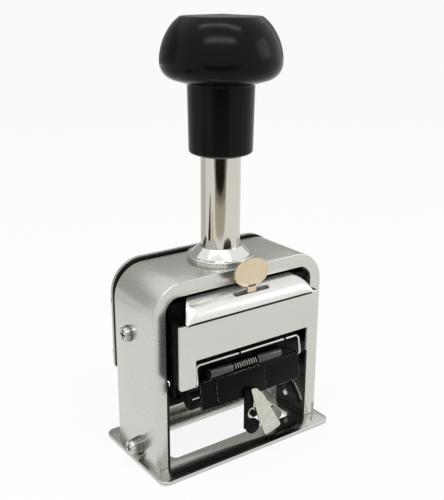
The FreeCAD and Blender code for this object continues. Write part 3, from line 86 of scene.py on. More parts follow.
def plated(name, tint, worn_tint, roughness, grain=(1, 1, 1), grain_mm=0.25, cloud_mm=9.0,
           depth=0.004, spread=0.12, metallic=1.0):
    """Plated or ground metal: cloudy patches of tint and gloss, and a fine grain drawn out one way."""
    material, tree, shader = new_finish(name, metallic=metallic)
    place = add(tree, "ShaderNodeTexCoord").outputs["Object"]
    cloud = add(tree, "ShaderNodeTexNoise", {"Vector": place, "Scale": 1 / (cloud_mm * MM),
                                             "Detail": 3.0, "Roughness": 0.55})
    tints = add(tree, "ShaderNodeMix", {"Factor": cloud.outputs["Fac"], "A": linear(worn_tint),
                                        "B": linear(tint)}, data_type="RGBA")
    tree.links.new(tints.outputs["Result"], shader.inputs["Base Color"])
    drawn = add(tree, "ShaderNodeMapping", {"Vector": place, "Scale": grain})
    lines = add(tree, "ShaderNodeTexNoise", {"Vector": drawn.outputs["Vector"],
                                             "Scale": 1 / (grain_mm * MM), "Detail": 2.0})
    gloss = add(tree, "ShaderNodeMapRange", {"Value": lines.outputs["Fac"], "From Min": 0.3,
                                             "From Max": 0.7, "To Min": roughness * (1 - spread),
                                             "To Max": roughness * (1 + spread)})
    tree.links.new(gloss.outputs["Result"], shader.inputs["Roughness"])
    bump = add(tree, "ShaderNodeBump", {"Height": lines.outputs["Fac"], "Strength": 0.3,
                                        "Distance": depth * MM})
    tree.links.new(bump.outputs["Normal"], shader.inputs["Normal"])
    return material


# Nickel over ground steel, brushed level: a smooth grey sheen with the faintest level lines. The
# real grain is finer than a pixel, so it is drawn at a quarter of a millimetre.
NICKEL = plated("brushed_nickel", "#CFCFCA", "#C8C8C3", 0.27, grain=(0.12, 0.12, 1.0), cloud_mm=18.0,
                depth=0.0002, spread=0.05, metallic=0.88)


def alone(thing):
    """Leave only this object selected and active."""
    bpy.ops.object.select_all(action="DESELECT")
    thing.select_set(True)
    bpy.context.view_layer.objects.active = thing
    return thing


def settled():
    """Put the object's place, turn and size into its mesh."""
    bpy.ops.object.transform_apply(location=True, rotation=True, scale=True)


def edited_whole():
    """Enter edit mode with all of the mesh selected."""
    bpy.ops.object.mode_set(mode="EDIT")
    bpy.ops.mesh.select_all(action="SELECT")


def block(name, x, y, z):
    """A cube set to its size and place between pairs of limits in millimetres."""
    bpy.ops.object.select_all(action="DESELECT")
    spans = [(high - low) * MM for low, high in (x, y, z)]
    middle = [(high + low) / 2 * MM for low, high in (x, y, z)]
    bpy.ops.mesh.primitive_cube_add(size=1, location=middle, scale=spans)
    piece = bpy.context.object
    piece.name = name
    settled()
    return piece


def softened(outline, closed, steps=5):
    """Turn (across, up, radius) corners into points, with an arc at each corner that has a radius."""
    points = []
    last = len(outline) - 1
    for number, (across, up, radius) in enumerate(outline):
        corner = Vector((across, up))
        if radius == 0 or (not closed and number in (0, last)):
            points.append(corner)
            continue
        before = (Vector(outline[number - 1][:2]) - corner).normalized()
        after = (Vector(outline[(number + 1) % len(outline)][:2]) - corner).normalized()
        angle = before.angle(after)
        middle = corner + (before + after).normalized() * radius / math.sin(angle / 2)
        spoke = corner + before * radius / math.tan(angle / 2) - middle
        turn = math.copysign(math.pi - angle, before.x * after.y - before.y * after.x) * -1
        for step in range(steps + 1):
            share = turn * step / steps
            points.append(middle + Vector((spoke.x * math.cos(share) - spoke.y * math.sin(share),
                                           spoke.x * math.sin(share) + spoke.y * math.cos(share))))
    return points


# For each axis, the way an outline is drawn away from it, and the way along it.
AXES = {"X": (Vector((0, 0, 1)), Vector((1, 0, 0))), "Y": (Vector((0, 0, 1)), Vector((0, 1, 0))),
        "Z": (Vector((1, 0, 0)), Vector((0, 0, 1)))}


def placed(axis, level, spot):
    """The point in metres at a level along an axis, over a spot across it."""
    parts = list(spot)
    parts.insert("XYZ".index(axis), level)
    return Vector(parts) * MM


def drawn_line(name, spots):
    """One vertex, extruded from spot to spot. The object is left in edit mode."""
    bpy.ops.object.select_all(action="DESELECT")
    bpy.ops.mesh.primitive_plane_add(size=MM)
    piece = bpy.context.object
    piece.name = name
    bpy.ops.object.mode_set(mode="EDIT")
    bpy.context.tool_settings.mesh_select_mode = (True, False, False)
    bpy.ops.mesh.merge(type="CENTER")
    bpy.ops.transform.translate(value=spots[0])
    for here, there in zip(spots, spots[1:]):
        bpy.ops.mesh.extrude_vertices_move(TRANSFORM_OT_translate={"value": there - here})
    bpy.ops.mesh.select_all(action="SELECT")
    return piece


def faced_out():
    """Turn all faces of the mesh outwards and leave edit mode."""
    bpy.ops.mesh.select_all(action="SELECT")
    bpy.ops.mesh.normals_make_consistent(inside=False)
    bpy.ops.object.mode_set(mode="OBJECT")


def turned(name, outline, spot=(0, 0), axis="Z", sides=64, ring=False, steps=5):
    """Turn an outline of (radius, level, corner radius) about an axis through a spot."""
    away, along = AXES[axis]
    centre = placed(axis, 0, spot)
    points = softened(outline, ring, steps)
    if ring:
        points.append(points[0])
    piece = drawn_line(name, [centre + (away * across + along * level) * MM for across, level in points])
    bpy.ops.mesh.spin(steps=sides, angle=2 * math.pi, center=centre, axis=along)
    bpy.ops.mesh.select_all(action="SELECT")
    bpy.ops.mesh.remove_doubles(threshold=0.0005 * MM)
    faced_out()
    return piece


def slab(name, axis, span, outline, steps=5):
    """Fill an outline of (across, up, corner radius) and draw it out along an axis."""
    low, high = span
    piece = drawn_line(name, [placed(axis, low, spot) for spot in softened(outline, True, steps)])
    bpy.ops.mesh.edge_face_add()
    bpy.ops.mesh.extrude_region_move(TRANSFORM_OT_translate={"value": AXES[axis][1] * (high - low) * MM})
    faced_out()
    return piece


def shaped(piece, kind, **settings):
    """Add a modifier with its settings and apply it."""
    alone(piece)
    change = piece.modifiers.new("step", kind)
    for name, value in settings.items():
        setattr(change, name, value)
    bpy.ops.object.modifier_apply(modifier=change.name)
    return piece


def cut(piece, *tools):
    """Take the tools' shapes out of the piece."""
    for tool in tools:
        shaped(piece, "BOOLEAN", object=tool, operation="DIFFERENCE", solver="EXACT")
        bpy.data.objects.remove(tool)
    return piece


def broken_edges(piece, width, segments=3, angle=32):
    """Break the sharp edges all over, as grinding and plating leave them."""
    return shaped(piece, "BEVEL", width=width * MM, segments=segments, limit_method="ANGLE",
                  angle_limit=math.radians(angle))


def finished(piece, body, slot, material, *nodes, angle=34):
    """Smooth the piece, give it its finish, tie it to its body, and hide the nodes it stands for; the
    slot is not used.
    """
    alone(piece)
    bpy.ops.object.shade_smooth_by_angle(angle=math.radians(angle))
    piece.data.materials.clear()
    piece.data.materials.append(material)
    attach(piece, body)
    if nodes:
        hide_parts(*nodes)
    return piece


def tools_like(name, axis, radius, span, spots):
    """Plain drills, one at each spot across the axis."""
    low, high = span
    return [turned(f"{name}_{number}", [(0, low, 0), (radius, low, 0), (radius, high, 0), (0, high, 0)],
                   spot, axis, sides=32) for number, spot in enumerate(spots)]


def faces_where(piece, wanted):
    """Enter edit mode with only the faces selected that the test picks by middle and normal."""
    alone(piece)
    bpy.context.tool_settings.mesh_select_mode = (False, False, True)
    bpy.ops.object.mode_set(mode="EDIT")
    bpy.ops.mesh.select_all(action="DESELECT")
    bpy.ops.object.mode_set(mode="OBJECT")
    for face in piece.data.polygons:
        face.select = wanted(face.center / MM, face.normal)
    bpy.ops.object.mode_set(mode="EDIT")
    return piece


BASE_TOP, UNDER_BAND, FRAME_TOP = 1.6, 67.8, 73.3
FRAME_HALF, ARCH_HALF, FRAME_DEEP = 38.25, 33.0, 14.2
FRAME_CORNER, ARCH_CORNER, REAR_CHAMFER = 12.5, 5.5, 0.9
arch = slab("main_frame_arch", "Y", (-FRAME_DEEP, FRAME_DEEP - REAR_CHAMFER), [
    (-FRAME_HALF, BASE_TOP, 0), (-ARCH_HALF, BASE_TOP, 0), (-ARCH_HALF, UNDER_BAND, ARCH_CORNER),
    (ARCH_HALF, UNDER_BAND, ARCH_CORNER), (ARCH_HALF, BASE_TOP, 0), (FRAME_HALF, BASE_TOP, 0),
    (FRAME_HALF, FRAME_TOP, FRAME_CORNER), (-FRAME_HALF, FRAME_TOP, FRAME_CORNER)], steps=14)
# The rear edges are ground back on a chamfer, and the feet stay flat on the base.
faces_where(arch, lambda middle, normal: normal.y > 0.9)
bpy.ops.mesh.inset(thickness=REAR_CHAMFER * MM)
bpy.ops.transform.translate(value=(0, REAR_CHAMFER * MM, 0))
bpy.ops.object.mode_set(mode="OBJECT")
for vertex in arch.data.vertices:
    if vertex.co.z < (BASE_TOP + 2) * MM:
        vertex.co.z = BASE_TOP * MM
broken_edges(arch, 0.3)
SHAFT_SPOT, BUSH_SPOT, FOOT_PIN_SPOT = (3.4, 50.6), (-2.6, 7.6), (-3.6, 3.1)
COVER_SPOTS = [(side * 34.6, level) for side in (-1, 1) for level in (37.0, 58.0)]
BASE_SPOTS = [(side * 35.625, deep * 9.5) for side in (-1, 1) for deep in (-1, 1)]
FRAME_BORE, SCREW_BORE, BUSH_BORE, PIN_BORE = 8.4, 1.55, 2.55, 1.25
cut(arch, *tools_like("collar_bore", "Z", FRAME_BORE, (UNDER_BAND - 1, FRAME_TOP + 1), [(0, 0)]))
for side in (-1, 1):
    reach = sorted((side * (ARCH_HALF - 1), side * (FRAME_HALF + 1)))
    for radius, spot in ((SCREW_BORE, SHAFT_SPOT), (BUSH_BORE, BUSH_SPOT), (PIN_BORE, FOOT_PIN_SPOT)):
        cut(arch, *tools_like("side_drill", "X", radius, reach, [spot]))
cut(arch, *tools_like("cover_drill", "Y", SCREW_BORE, (7.2, 15.0), COVER_SPOTS))
cut(arch, *tools_like("base_drill", "Z", SCREW_BORE, (BASE_TOP - 1, 9.1), BASE_SPOTS))
# Each foot has a short round notch in its front face.
for side in (-1, 1):
    cut(arch, turned("foot_notch", [(0, 0, 0), (0.75, 0, 0), (0.75, 6.2, 0.7), (0, 6.6, 0)],
                     (side * 37.2, -FRAME_DEEP), sides=24))
finished(arch, "frame", "nickel", NICKEL, "main_frame")

# Base plate: a pressed steel plate with rounded corners and the printing window, plated with the
# frame. Four countersunk screws hold it from below.


def oblong(left, right, low, high, radius):
    """The corners of a rectangle, all with one radius."""
    return [(left, low, radius), (right, low, radius), (right, high, radius), (left, high, radius)]


BASE_HALF, BASE_DEEP, WINDOW_HALF = 40, 22.1, 28.2
plate = slab("base_plate_pressed", "Z", (0, BASE_TOP),
             oblong(-BASE_HALF, BASE_HALF, -BASE_DEEP, BASE_DEEP, 3.3), steps=10)
cut(plate, slab("window_tool", "Z", (-1, BASE_TOP + 1),
                oblong(-WINDOW_HALF, WINDOW_HALF, -10.2, 9.3, 2.2), steps=8))
broken_edges(plate, 0.22)
for spot in BASE_SPOTS:
    cut(plate, turned("sink", [(0, -0.01, 0), (2.7, -0.01, 0), (SCREW_BORE, BASE_TOP + 0.01, 0),
                               (0, BASE_TOP + 0.01, 0)], spot))
# Nickel on rolled sheet: brighter and smoother than the frame, so it mirrors what stands over it.
BASE_NICKEL = plated("sheet_nickel", "#C9C9C5", "#BDBDB8", 0.17, grain=(0.1, 1.0, 1.0), cloud_mm=12.0,
                     depth=0.0003)
finished(plate, "frame", "nickel", BASE_NICKEL, "base_plate")

# Bright nickelled screw steel: smoother and sharper than the frame, with fine turning marks.
SCREW_STEEL = plated("nickelled_screw_steel", "#CBCBC7", "#A9A9A5", 0.12, grain_mm=0.18, cloud_mm=4.0,
                     depth=0.001)


def joined(name, pieces):
    """Join pieces into one."""
    bpy.ops.object.select_all(action="DESELECT")
    for piece in pieces:
        piece.select_set(True)
    bpy.context.view_layer.objects.active = pieces[0]
    bpy.ops.object.join()
    pieces[0].name = name
    return pieces[0]


def crossed(piece, axis, spot, face, width, reach, depth):
    """Cut a cross recess into a screw's face; depth is towards minus or plus along the axis."""
    for turn in (0, 1):
        across, up = ((reach, width), (width, reach))[turn]
        levels = sorted((face - depth, face + math.copysign(0.5, depth)))
        spans = [(spot[0] - across / 2, spot[0] + across / 2), (spot[1] - up / 2, spot[1] + up / 2)]
        spans.insert("XYZ".index(axis), levels)
        cut(piece, block("recess", *spans))
    return piece


screws = []
for spot in BASE_SPOTS:
    screw = turned("screw", [(0, 0.1, 0), (2.6, 0.1, 0), (1.5, BASE_TOP, 0), (1.5, 8.6, 0.3),
                             (0, 8.6, 0)], spot, sides=40)
    screws.append(crossed(screw, "Z", spot, 0.1, 0.7, 2.8, -0.8))
finished(joined("base_screws_cross", screws), "frame", "screw_steel", SCREW_STEEL, "base_screws")

# Collar: a turned brass cone with a thin rim on a flat ring, both polished and chromed. Its spigot
# lines the frame's bore and guides the plunger tube.

# Chrome over polished brass: a clear mirror with almost no grain.
CHROME = plated("mirror_chrome", "#E2E2E0", "#DCDCD9", 0.11, grain_mm=0.6, cloud_mm=14.0, depth=0.0004)
TUBE_RADIUS, BORE_RADIUS, SPIGOT_RADIUS = 7.4, 7.45, 8.35
RING_TOP, COLLAR_TOP = 74.3, 78.5
ring = turned("collar_ring_turned", [
    (FRAME_BORE, FRAME_TOP, 0), (11.9, FRAME_TOP, 0.15), (11.9, 74.0, 0.2), (11.2, RING_TOP, 0),
    (FRAME_BORE, RING_TOP, 0)], sides=128, ring=True)
finished(ring, "frame", "chrome", CHROME, "collar_ring")
cone = turned("collar_cone", [
    (BORE_RADIUS, UNDER_BAND, 0), (SPIGOT_RADIUS, UNDER_BAND, 0), (SPIGOT_RADIUS, RING_TOP, 0),
    (11.6, RING_TOP, 0), (12.6, 74.55, 0.2), (12.6, 75.1, 0.2), (11.15, 75.3, 0),
    (7.95, COLLAR_TOP, 0.2), (BORE_RADIUS, COLLAR_TOP, 0)],
    sides=128, ring=True, steps=4)
finished(cone, "frame", "chrome", CHROME, "collar", angle=28)

# Plunger tube: drawn, slotted for the cross shaft and chromed to a mirror. A plug closes its top
# inside the knob and the crosshead grips its foot.

TUBE_FOOT, TUBE_TOP, TUBE_BORE = 46.4, 143.2, 6.4
tube = turned("plunger_tube_drawn", [
    (TUBE_BORE, TUBE_FOOT, 0.2), (TUBE_RADIUS, TUBE_FOOT, 0.3), (TUBE_RADIUS, TUBE_TOP, 0.3),
    (TUBE_BORE, TUBE_TOP, 0.2)],
    sides=128, ring=True, steps=3)
cut(tube, block("slot_tool", (-9, 9), (0.6, 6.2), (45, 78.4)))
# The same chrome, with a faint warm tone over the length of the drawn tube.
TUBE_CHROME = plated("drawn_tube_chrome", "#D0CDC5", "#C8C5BC", 0.09, grain=(1.0, 1.0, 0.05),
                     grain_mm=0.6, cloud_mm=14.0, depth=0.001)
finished(tube, "carriage", "chrome", TUBE_CHROME, "plunger_tube")

# Ground and oiled steel for the shafts inside.
SHAFT_STEEL = plated("ground_oiled_steel", "#A9A69F", "#8C8880", 0.3, grain_mm=0.2, cloud_mm=4.0)


def pin(name, axis, spot, radius, span, body, slot, material, node, edge=0.3, sides=48):
    """A plain turned pin or shaft with its end edges broken."""
    low, high = span
    piece = turned(name, [(0, low, 0), (radius, low, edge), (radius, high, edge), (0, high, 0)], spot,
                   axis, sides, steps=3)
    return finished(piece, body, slot, material, node)


pin("plunger_plug_pressed", "Z", (0, 0), TUBE_BORE, (135.2, TUBE_TOP), "carriage", "shaft_steel",
    SHAFT_STEEL, "plunger_plug", edge=0.5)
pin("guide_rod", "Z", (0, 0), 2.5, (55.4, 81.4), "frame", "shaft_steel", SHAFT_STEEL, "spring_rod")

# Knob: a mushroom turned from one black plastic moulding and polished. It is pressed on the tube,
# and a small hole is left in the middle of its flat top.


def mottled(name, dark, light, patches, marks, strength, depth, **sockets):
    """Patches of two near tints, and fine marks, each as (size in mm, detail, distortion)."""
    material, tree, shader = new_finish(name, **sockets)
    place = add(tree, "ShaderNodeTexCoord").outputs["Object"]
    cloud, grit = [add(tree, "ShaderNodeTexNoise", {
        "Vector": place, "Scale": 1 / (size * MM), "Detail": detail, "Distortion": distortion})
        for size, detail, distortion in (patches, marks)]
    tints = add(tree, "ShaderNodeMix", {"Factor": cloud.outputs["Fac"], "A": linear(dark),
                                        "B": linear(light)}, data_type="RGBA")
    tree.links.new(tints.outputs["Result"], shader.inputs["Base Color"])
    bump = add(tree, "ShaderNodeBump", {"Height": grit.outputs["Fac"], "Strength": strength,
                                        "Distance": depth * MM})
    tree.links.new(bump.outputs["Normal"], shader.inputs["Normal"])
    return material, tree, shader, place, cloud, tints


# Phenolic moulding, buffed: deep black with a clear but weak gloss and faint buffing marks.
KNOB_BLACK = mottled("polished_black_phenolic", "#080807", "#0D0C0B", (16.667, 3.0, 0), (1.4286, 2.0, 0),
                     0.1, 0.03, roughness=0.2, ior=1.5, specular_ior_level=0.11)[0]
KNOB_FOOT = 113.2


def flank(start, end, widest_first, steps=14):
    """Points on the arc between a ring and the widest ring, where the wall stands upright."""
    wide, other = (start, end) if widest_first else (end, start)
    across, rise = wide[0] - other[0], other[1] - wide[1]
    radius = (across ** 2 + rise ** 2) / (2 * across)
    whole = math.asin(abs(rise) / radius)
    rows = []
    for step in range(steps + 1):
        angle = whole * step / steps
        rows.append((wide[0] - radius + radius * math.cos(angle),
                     wide[1] + math.copysign(radius * math.sin(angle), rise), 0))
    return rows if widest_first else rows[::-1]


WIDEST, SHOULDER, UNDER = (21.7, 32.1), (15.95, 46.1), (17.0, 26.0)
knob_outline = [(0, 30.05, 0), (BORE_RADIUS, 30.05, 0), (BORE_RADIUS, -0.5, 0.2), (9.4, -0.5, 1.0),
                (11.65, 0.5, 1.1), (12.1, 24.5, 0.5), (UNDER[0] - 0.8, 25.75, 0)]
knob_outline += flank(UNDER, WIDEST, False) + flank(WIDEST, SHOULDER, True)[1:-1]
knob_outline += [(SHOULDER[0] - 0.05, 46.05, 0), (14.4, 47.35, 1.5), (1.1, 48.0, 0.25),
                 (1.1, 45.0, 0), (0, 45.0, 0)]
knob = turned("knob_mushroom", [(r, KNOB_FOOT + level, soft) for r, level, soft in knob_outline],
              sides=160)
finished(knob, "carriage", "black_plastic", KNOB_BLACK, "knob", angle=40)

# Rear cover and liner: a satin plated sheet over a black enamelled one, both arched like the frame,
# held to the legs by four black pan-head screws.

# Stove enamel on steel: near black, half gloss, slightly uneven. Some pieces get a pale steel grey
# along their edges in a broken line: a painted highlight where the edges catch the light.


def enamelled(name, edge_highlight, gloss):
    """Black enamel with its gloss, and the strength of a painted highlight in pale steel grey along its
    edges.
    """
    material, tree, shader, place, cloud, tints = mottled(
        name, "#040404", "#080808", (4.5455, 4.0, 0), (0.625, 2.0, 0), 0.2, 0.03, ior=1.5,
        specular_ior_level=gloss)
    spread = add(tree, "ShaderNodeMapRange", {"Value": cloud.outputs["Fac"], "To Min": 0.26,
                                              "To Max": 0.42})
    tree.links.new(spread.outputs["Result"], shader.inputs["Roughness"])
    if edge_highlight == 0:
        return material
    # A pale steel grey in a broken line along the edges: a painted highlight.
    rounded = add(tree, "ShaderNodeBevel", {"Radius": 0.3 * MM}, samples=6)
    true_normal = add(tree, "ShaderNodeNewGeometry").outputs["Normal"]
    agree = add(tree, "ShaderNodeVectorMath", {0: rounded.outputs["Normal"], 1: true_normal},
                operation="DOT_PRODUCT")
    edge = add(tree, "ShaderNodeMapRange", {"Value": agree.outputs["Value"], "From Min": 0.97,
                                            "From Max": 0.9, "To Min": 0.0, "To Max": edge_highlight})
    highlight_breaks = add(tree, "ShaderNodeTexNoise", {"Vector": place, "Scale": 1 / (1.1111 * MM),
                                             "Detail": 3.0})
    broken_highlight = add(tree, "ShaderNodeMapRange", {"Value": highlight_breaks.outputs["Fac"], "From Min": 0.42,
                                               "From Max": 0.55})
    highlight_share = add(tree, "ShaderNodeMath", {0: edge.outputs["Result"], 1: broken_highlight.outputs["Result"]},
               operation="MULTIPLY")
    highlighted = add(tree, "ShaderNodeMix", {"Factor": highlight_share.outputs[0], "A": tints.outputs["Result"],
                                       "B": linear("#A9A79F")}, data_type="RGBA")
    tree.links.new(highlighted.outputs["Result"], shader.inputs["Base Color"])
    return material


enamel = enamelled("black_stove_enamel", 0, 0.07)

# Cover sheet: plated and left satin, a little greyer than the frame.
COVER_STEEL = plated("satin_cover_steel", "#C4C3C0", "#B4B3B0", 0.3, grain=(1.0, 1.0, 0.15),
                     depth=0.0015)


LINER_BACK, COVER_BACK, HEAD_BACK = 16.2, 17.4, 19.4


def arched_sheet(name, inset, span):
    """A sheet with the frame's shoulders, set in all round and drilled for the cover screws."""
    half, foot, top, corner = 37.6 - inset, 31.6 + inset, 74.0 - inset, FRAME_CORNER - inset
    sheet = slab(name, "Y", span, [(-half, foot, 0.8), (half, foot, 0.8), (half, top, corner),
                                   (-half, top, corner)], steps=14)
    cut(sheet, *tools_like("drill", "Y", SCREW_BORE, (span[0] - 1, span[1] + 1), COVER_SPOTS))
    return broken_edges(sheet, 0.15, 2)


finished(arched_sheet("rear_liner_sheet", 0.15, (FRAME_DEEP, LINER_BACK)), "frame", "black_enamel",
         enamel, "rear_liner")
finished(arched_sheet("rear_cover_sheet", 0.0, (LINER_BACK, COVER_BACK)), "frame", "cover_steel",
         COVER_STEEL, "rear_cover")
screws = []
for spot in COVER_SPOTS:
    screw = turned("screw", [(0, 7.7, 0), (1.5, 7.7, 0.2), (1.5, COVER_BACK, 0), (2.5, COVER_BACK, 0.1),
                             (2.5, HEAD_BACK, 0.9), (0, HEAD_BACK, 0)], spot, "Y", 40)
    screws.append(crossed(screw, "Y", spot, HEAD_BACK, 0.6, 2.6, 1.1))
finished(joined("rear_cover_screws_pan", screws), "frame", "black_enamel", enamel, "rear_cover_screws")

# Side screws: above, a cross-recessed cheese head on a washer into each end of the cross shaft.
# Below, a pan head in a stepped bush with a small locating pin beneath, all bright plated.


def paired(name, rows, spot, start=0.0, ring=False, sides=48):
    """One turned piece on each side of the machine, with levels measured outwards from a start."""
    return [turned(name, [(radius, side * (start + level), soft) for radius, level, soft in rows],
                   spot, "X", sides, ring) for side in (-1, 1)]


UPPER_HEAD, LOWER_HEAD, BUSH_OUT = 2.6, 5.0, 3.0
washers = paired("washer", [(SCREW_BORE, 0, 0), (3.1, 0, 0.05), (3.1, 0.6, 0.2), (SCREW_BORE, 0.6, 0)],
                 SHAFT_SPOT, FRAME_HALF, ring=True)
uppers = paired("screw", [(0, -11.2, 0), (1.5, -11.2, 0.2), (1.5, 0.6, 0), (2.8, 0.6, 0.1),
                          (2.8, 2.35, 0.4), (0, UPPER_HEAD, 0)], SHAFT_SPOT, FRAME_HALF)
bushes = paired("bush", [(SCREW_BORE, -5.25, 0), (2.5, -5.25, 0.2), (2.5, 0, 0), (3.2, 0, 0.05),
                         (3.2, 1.2, 0.25), (2.9, 1.2, 0), (2.9, BUSH_OUT, 0.35),
                         (SCREW_BORE, BUSH_OUT, 0)], BUSH_SPOT, FRAME_HALF, ring=True)
lowers = paired("screw", [(0, -6.2, 0), (1.5, -6.2, 0.2), (1.5, BUSH_OUT, 0), (2.8, BUSH_OUT, 0.1),
                          (2.75, 4.6, 0.8), (0, LOWER_HEAD, 0)], BUSH_SPOT, FRAME_HALF)
pins = paired("pin", [(0, -5.25, 0), (1.2, -5.25, 0.2), (1.2, 1.6, 0.4), (0, 1.6, 0)], FOOT_PIN_SPOT,
              FRAME_HALF, sides=40)
for side, upper, lower in zip((-1, 1), uppers, lowers):
    crossed(upper, "X", SHAFT_SPOT, side * (FRAME_HALF + UPPER_HEAD), 0.75, 3.6, side * 1.2)
    crossed(lower, "X", BUSH_SPOT, side * (FRAME_HALF + LOWER_HEAD), 0.7, 3.2, side * 1.3)
# Washers are given a darker steel than the screws, as painted shade and painted dark reflection, so a
# dark line parts each screw head from the frame. The bushes and foot pins take the same steel.
SHADE_STEEL = plated("painted_shade_steel", "#86857F", "#6A6964", 0.2, grain_mm=0.2, cloud_mm=3.0,
                    depth=0.001)
finished(joined("upper_washers_flat", washers), "frame", "nickel", SHADE_STEEL, "upper_washers")
finished(joined("upper_side_screws_cheese", uppers), "frame", "screw_steel", SCREW_STEEL,
         "upper_side_screws")
finished(joined("lower_bushes_stepped", bushes), "frame", "nickel", SHADE_STEEL, "lower_bushes")
finished(joined("lower_side_screws_pan", lowers), "frame", "screw_steel", SCREW_STEEL,
         "lower_side_screws")
finished(joined("foot_pins_turned", pins), "frame", "screw_steel", SHADE_STEEL, "foot_pins")

# Cross shaft, spring seat and return spring: the shaft spans the legs and carries the seat, and the
# coiled spring stands on it inside the tube and pushes the carriage up.


def merged_copy(node, name):
    """A copy of a CAD piece with its triangles merged into whole faces."""
    piece = bpy.data.objects.new(name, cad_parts[node].data.copy())
    bpy.context.scene.collection.objects.link(piece)
    alone(piece)
    edited_whole()
    bpy.ops.mesh.customdata_custom_splitnormals_clear()
    bpy.ops.mesh.remove_doubles(threshold=0.001 * MM)
    bpy.ops.mesh.dissolve_limited(angle_limit=math.radians(0.6))
    bpy.ops.object.mode_set(mode="OBJECT")
    return piece


def dressed(node, name, body, slot, material, width=0.15, segments=2):
    """A merged copy of a stamped or milled piece with its edges broken."""
    return finished(broken_edges(merged_copy(node, name), width, segments), body, slot, material, node)


pin("cross_shaft_ground", "X", SHAFT_SPOT, 2.5, (-ARCH_HALF, ARCH_HALF), "frame", "shaft_steel",
    SHAFT_STEEL, "cross_shaft")
dressed("spring_seat", "spring_seat_turned", "frame", "nickel", SCREW_STEEL)

# Drawn music wire, oil tempered: grey brown with a soft sheen along the wire.
SPRING_WIRE = plated("spring_wire", "#A8A49C", "#837F78", 0.28, grain_mm=0.15, cloud_mm=2.0)


def coil(name, start, end, along, mean_radius, wire_radius, turns, sides=10, steps=28):
    """Wind a round wire about an axis, from a start level to an end level, and close its ends."""
    direction = AXES[along][1]
    across = Vector((0, 0, -1)) if along == "X" else Vector((1, 0, 0))
    bpy.ops.object.select_all(action="DESELECT")
    bpy.ops.mesh.primitive_circle_add(vertices=sides, radius=wire_radius * MM)
    piece = bpy.context.object
    piece.name = name
    normal = direction.cross(across)
    piece.rotation_mode = "QUATERNION"
    piece.rotation_quaternion = normal.to_track_quat("Z", "Y")
    piece.location = Vector(start) * MM + across * mean_radius * MM
    settled()
    edited_whole()
    whole = turns * steps
    rise = (Vector(end) - Vector(start)) * MM / whole
    centre = Vector(start) * MM
    for _ in range(whole):
        bpy.ops.mesh.extrude_edges_move(TRANSFORM_OT_translate={"value": rise})
        bpy.ops.transform.rotate(value=-2 * math.pi / steps, orient_axis=along,
                                 center_override=centre, orient_type="GLOBAL")
    bpy.ops.mesh.select_all(action="SELECT")
    bpy.ops.mesh.fill_holes(sides=sides)
    faced_out()
    return piece


return_coil = coil("return_spring_coil", (0, 0, 56.3), (0, 0, 134.3), "Z", 4.45, 0.85, 15, 8, 24)
finished(return_coil, "frame", "spring_steel", SPRING_WIRE, "return_spring")
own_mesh(return_coil)

# Rear apron: a bent steel angle on the rear of the base plate, nickel plated like the frame. It
# stands across the window's rear edge and is held by three round-head rivets.

dressed("rear_apron", "rear_apron_bent", "frame", "nickel", NICKEL, 0.2)
rivets = [turned("rivet", [(0, BASE_TOP, 0), (1.0, BASE_TOP, 0), (1.0, 2.6, 0), (1.6, 2.6, 0.05),
                           (1.5, 3.0, 0.3), (0, 3.1, 0)], (across, 19.3), sides=32)
          for across in (-21.6, 0, 21.6)]
finished(joined("apron_rivets_round", rivets), "frame", "screw_steel", SCREW_STEEL, "apron_rivets")

# Cam plates: stamped steel, oil-blackened, on the legs' inner faces. Each has the slot that swings
# the ink pad, and the lower side screw holds it. Above it, a thin black sheet on the leg, where the
# carriage passes, is painted shade.

# Oil-blackened steel: charcoal with a dull sheen.
BLACKENED = plated("oil_blackened_steel", "#2E2D2B", "#1D1C1B", 0.36, grain_mm=0.3, cloud_mm=5.0)
for side in ("left", "right"):
    dressed(f"cam_plate_{side}", f"cam_plate_{side}_stamped", "frame", "shaft_steel", BLACKENED, 0.1)
# A thin black sheet on each leg's inner face: painted shade.
for side, hand in ((-1, "left"), (1, "right")):
    span = sorted((side * 32.66, side * ARCH_HALF))
    strip = block(f"leg_wear_strip_{hand}", span, (-14.1, -7.0), (36.0, 39.6))
    finished(broken_edges(strip, 0.05, 1), "frame", "black_enamel", enamel)

# Carriage: two black enamelled side plates, with two cast blocks that grip the tube's foot. The
# right one is thinned in front, behind the edge of the front plate.

PLATE_LEFT, PLATE_RIGHT = -32.4, 30.6

dressed("side_plate_left", "side_plate_left_stamped", "carriage", "black_enamel", enamel)
right_side = broken_edges(merged_copy("side_plate_right", "side_plate_right_stamped"), 0.15, 2)
cut(right_side, block("step_tool", (PLATE_RIGHT, 33), (-21.5, -14.4), (30, 67)))
finished(right_side, "carriage", "black_enamel", enamel, "side_plate_right")
for end in ("front", "rear"):
    dressed(f"crosshead_{end}", f"crosshead_{end}_block", "carriage", "black_enamel", enamel, 0.2)

# Front plate: a stamped steel plate with a leg at each side of its cut-out, plated like the frame.
# It is screwed to the carriage from inside, so its face is plain.

front = slab("front_plate_stamped", "Y", (-22.0, -20.8), [
    (PLATE_LEFT, 35.9, 1.0), (-25.7, 35.9, 1.0), (-25.7, 46.1, 0.3), (25.5, 46.1, 0.3),
    (25.5, 35.9, 1.0), (PLATE_RIGHT, 35.9, 1.0), (PLATE_RIGHT, 60.2, 0.3), (PLATE_LEFT, 60.2, 0.3)],
    steps=6)
broken_edges(front, 0.2)
finished(front, "carriage", "nickel", NICKEL, "front_plate")

# Hood: a hollow bar bent from sheet over the front plate's top edge, buffed and nickelled, with
# round ends and a slot for the tab. A dark strip under its lip is a painted shade line.

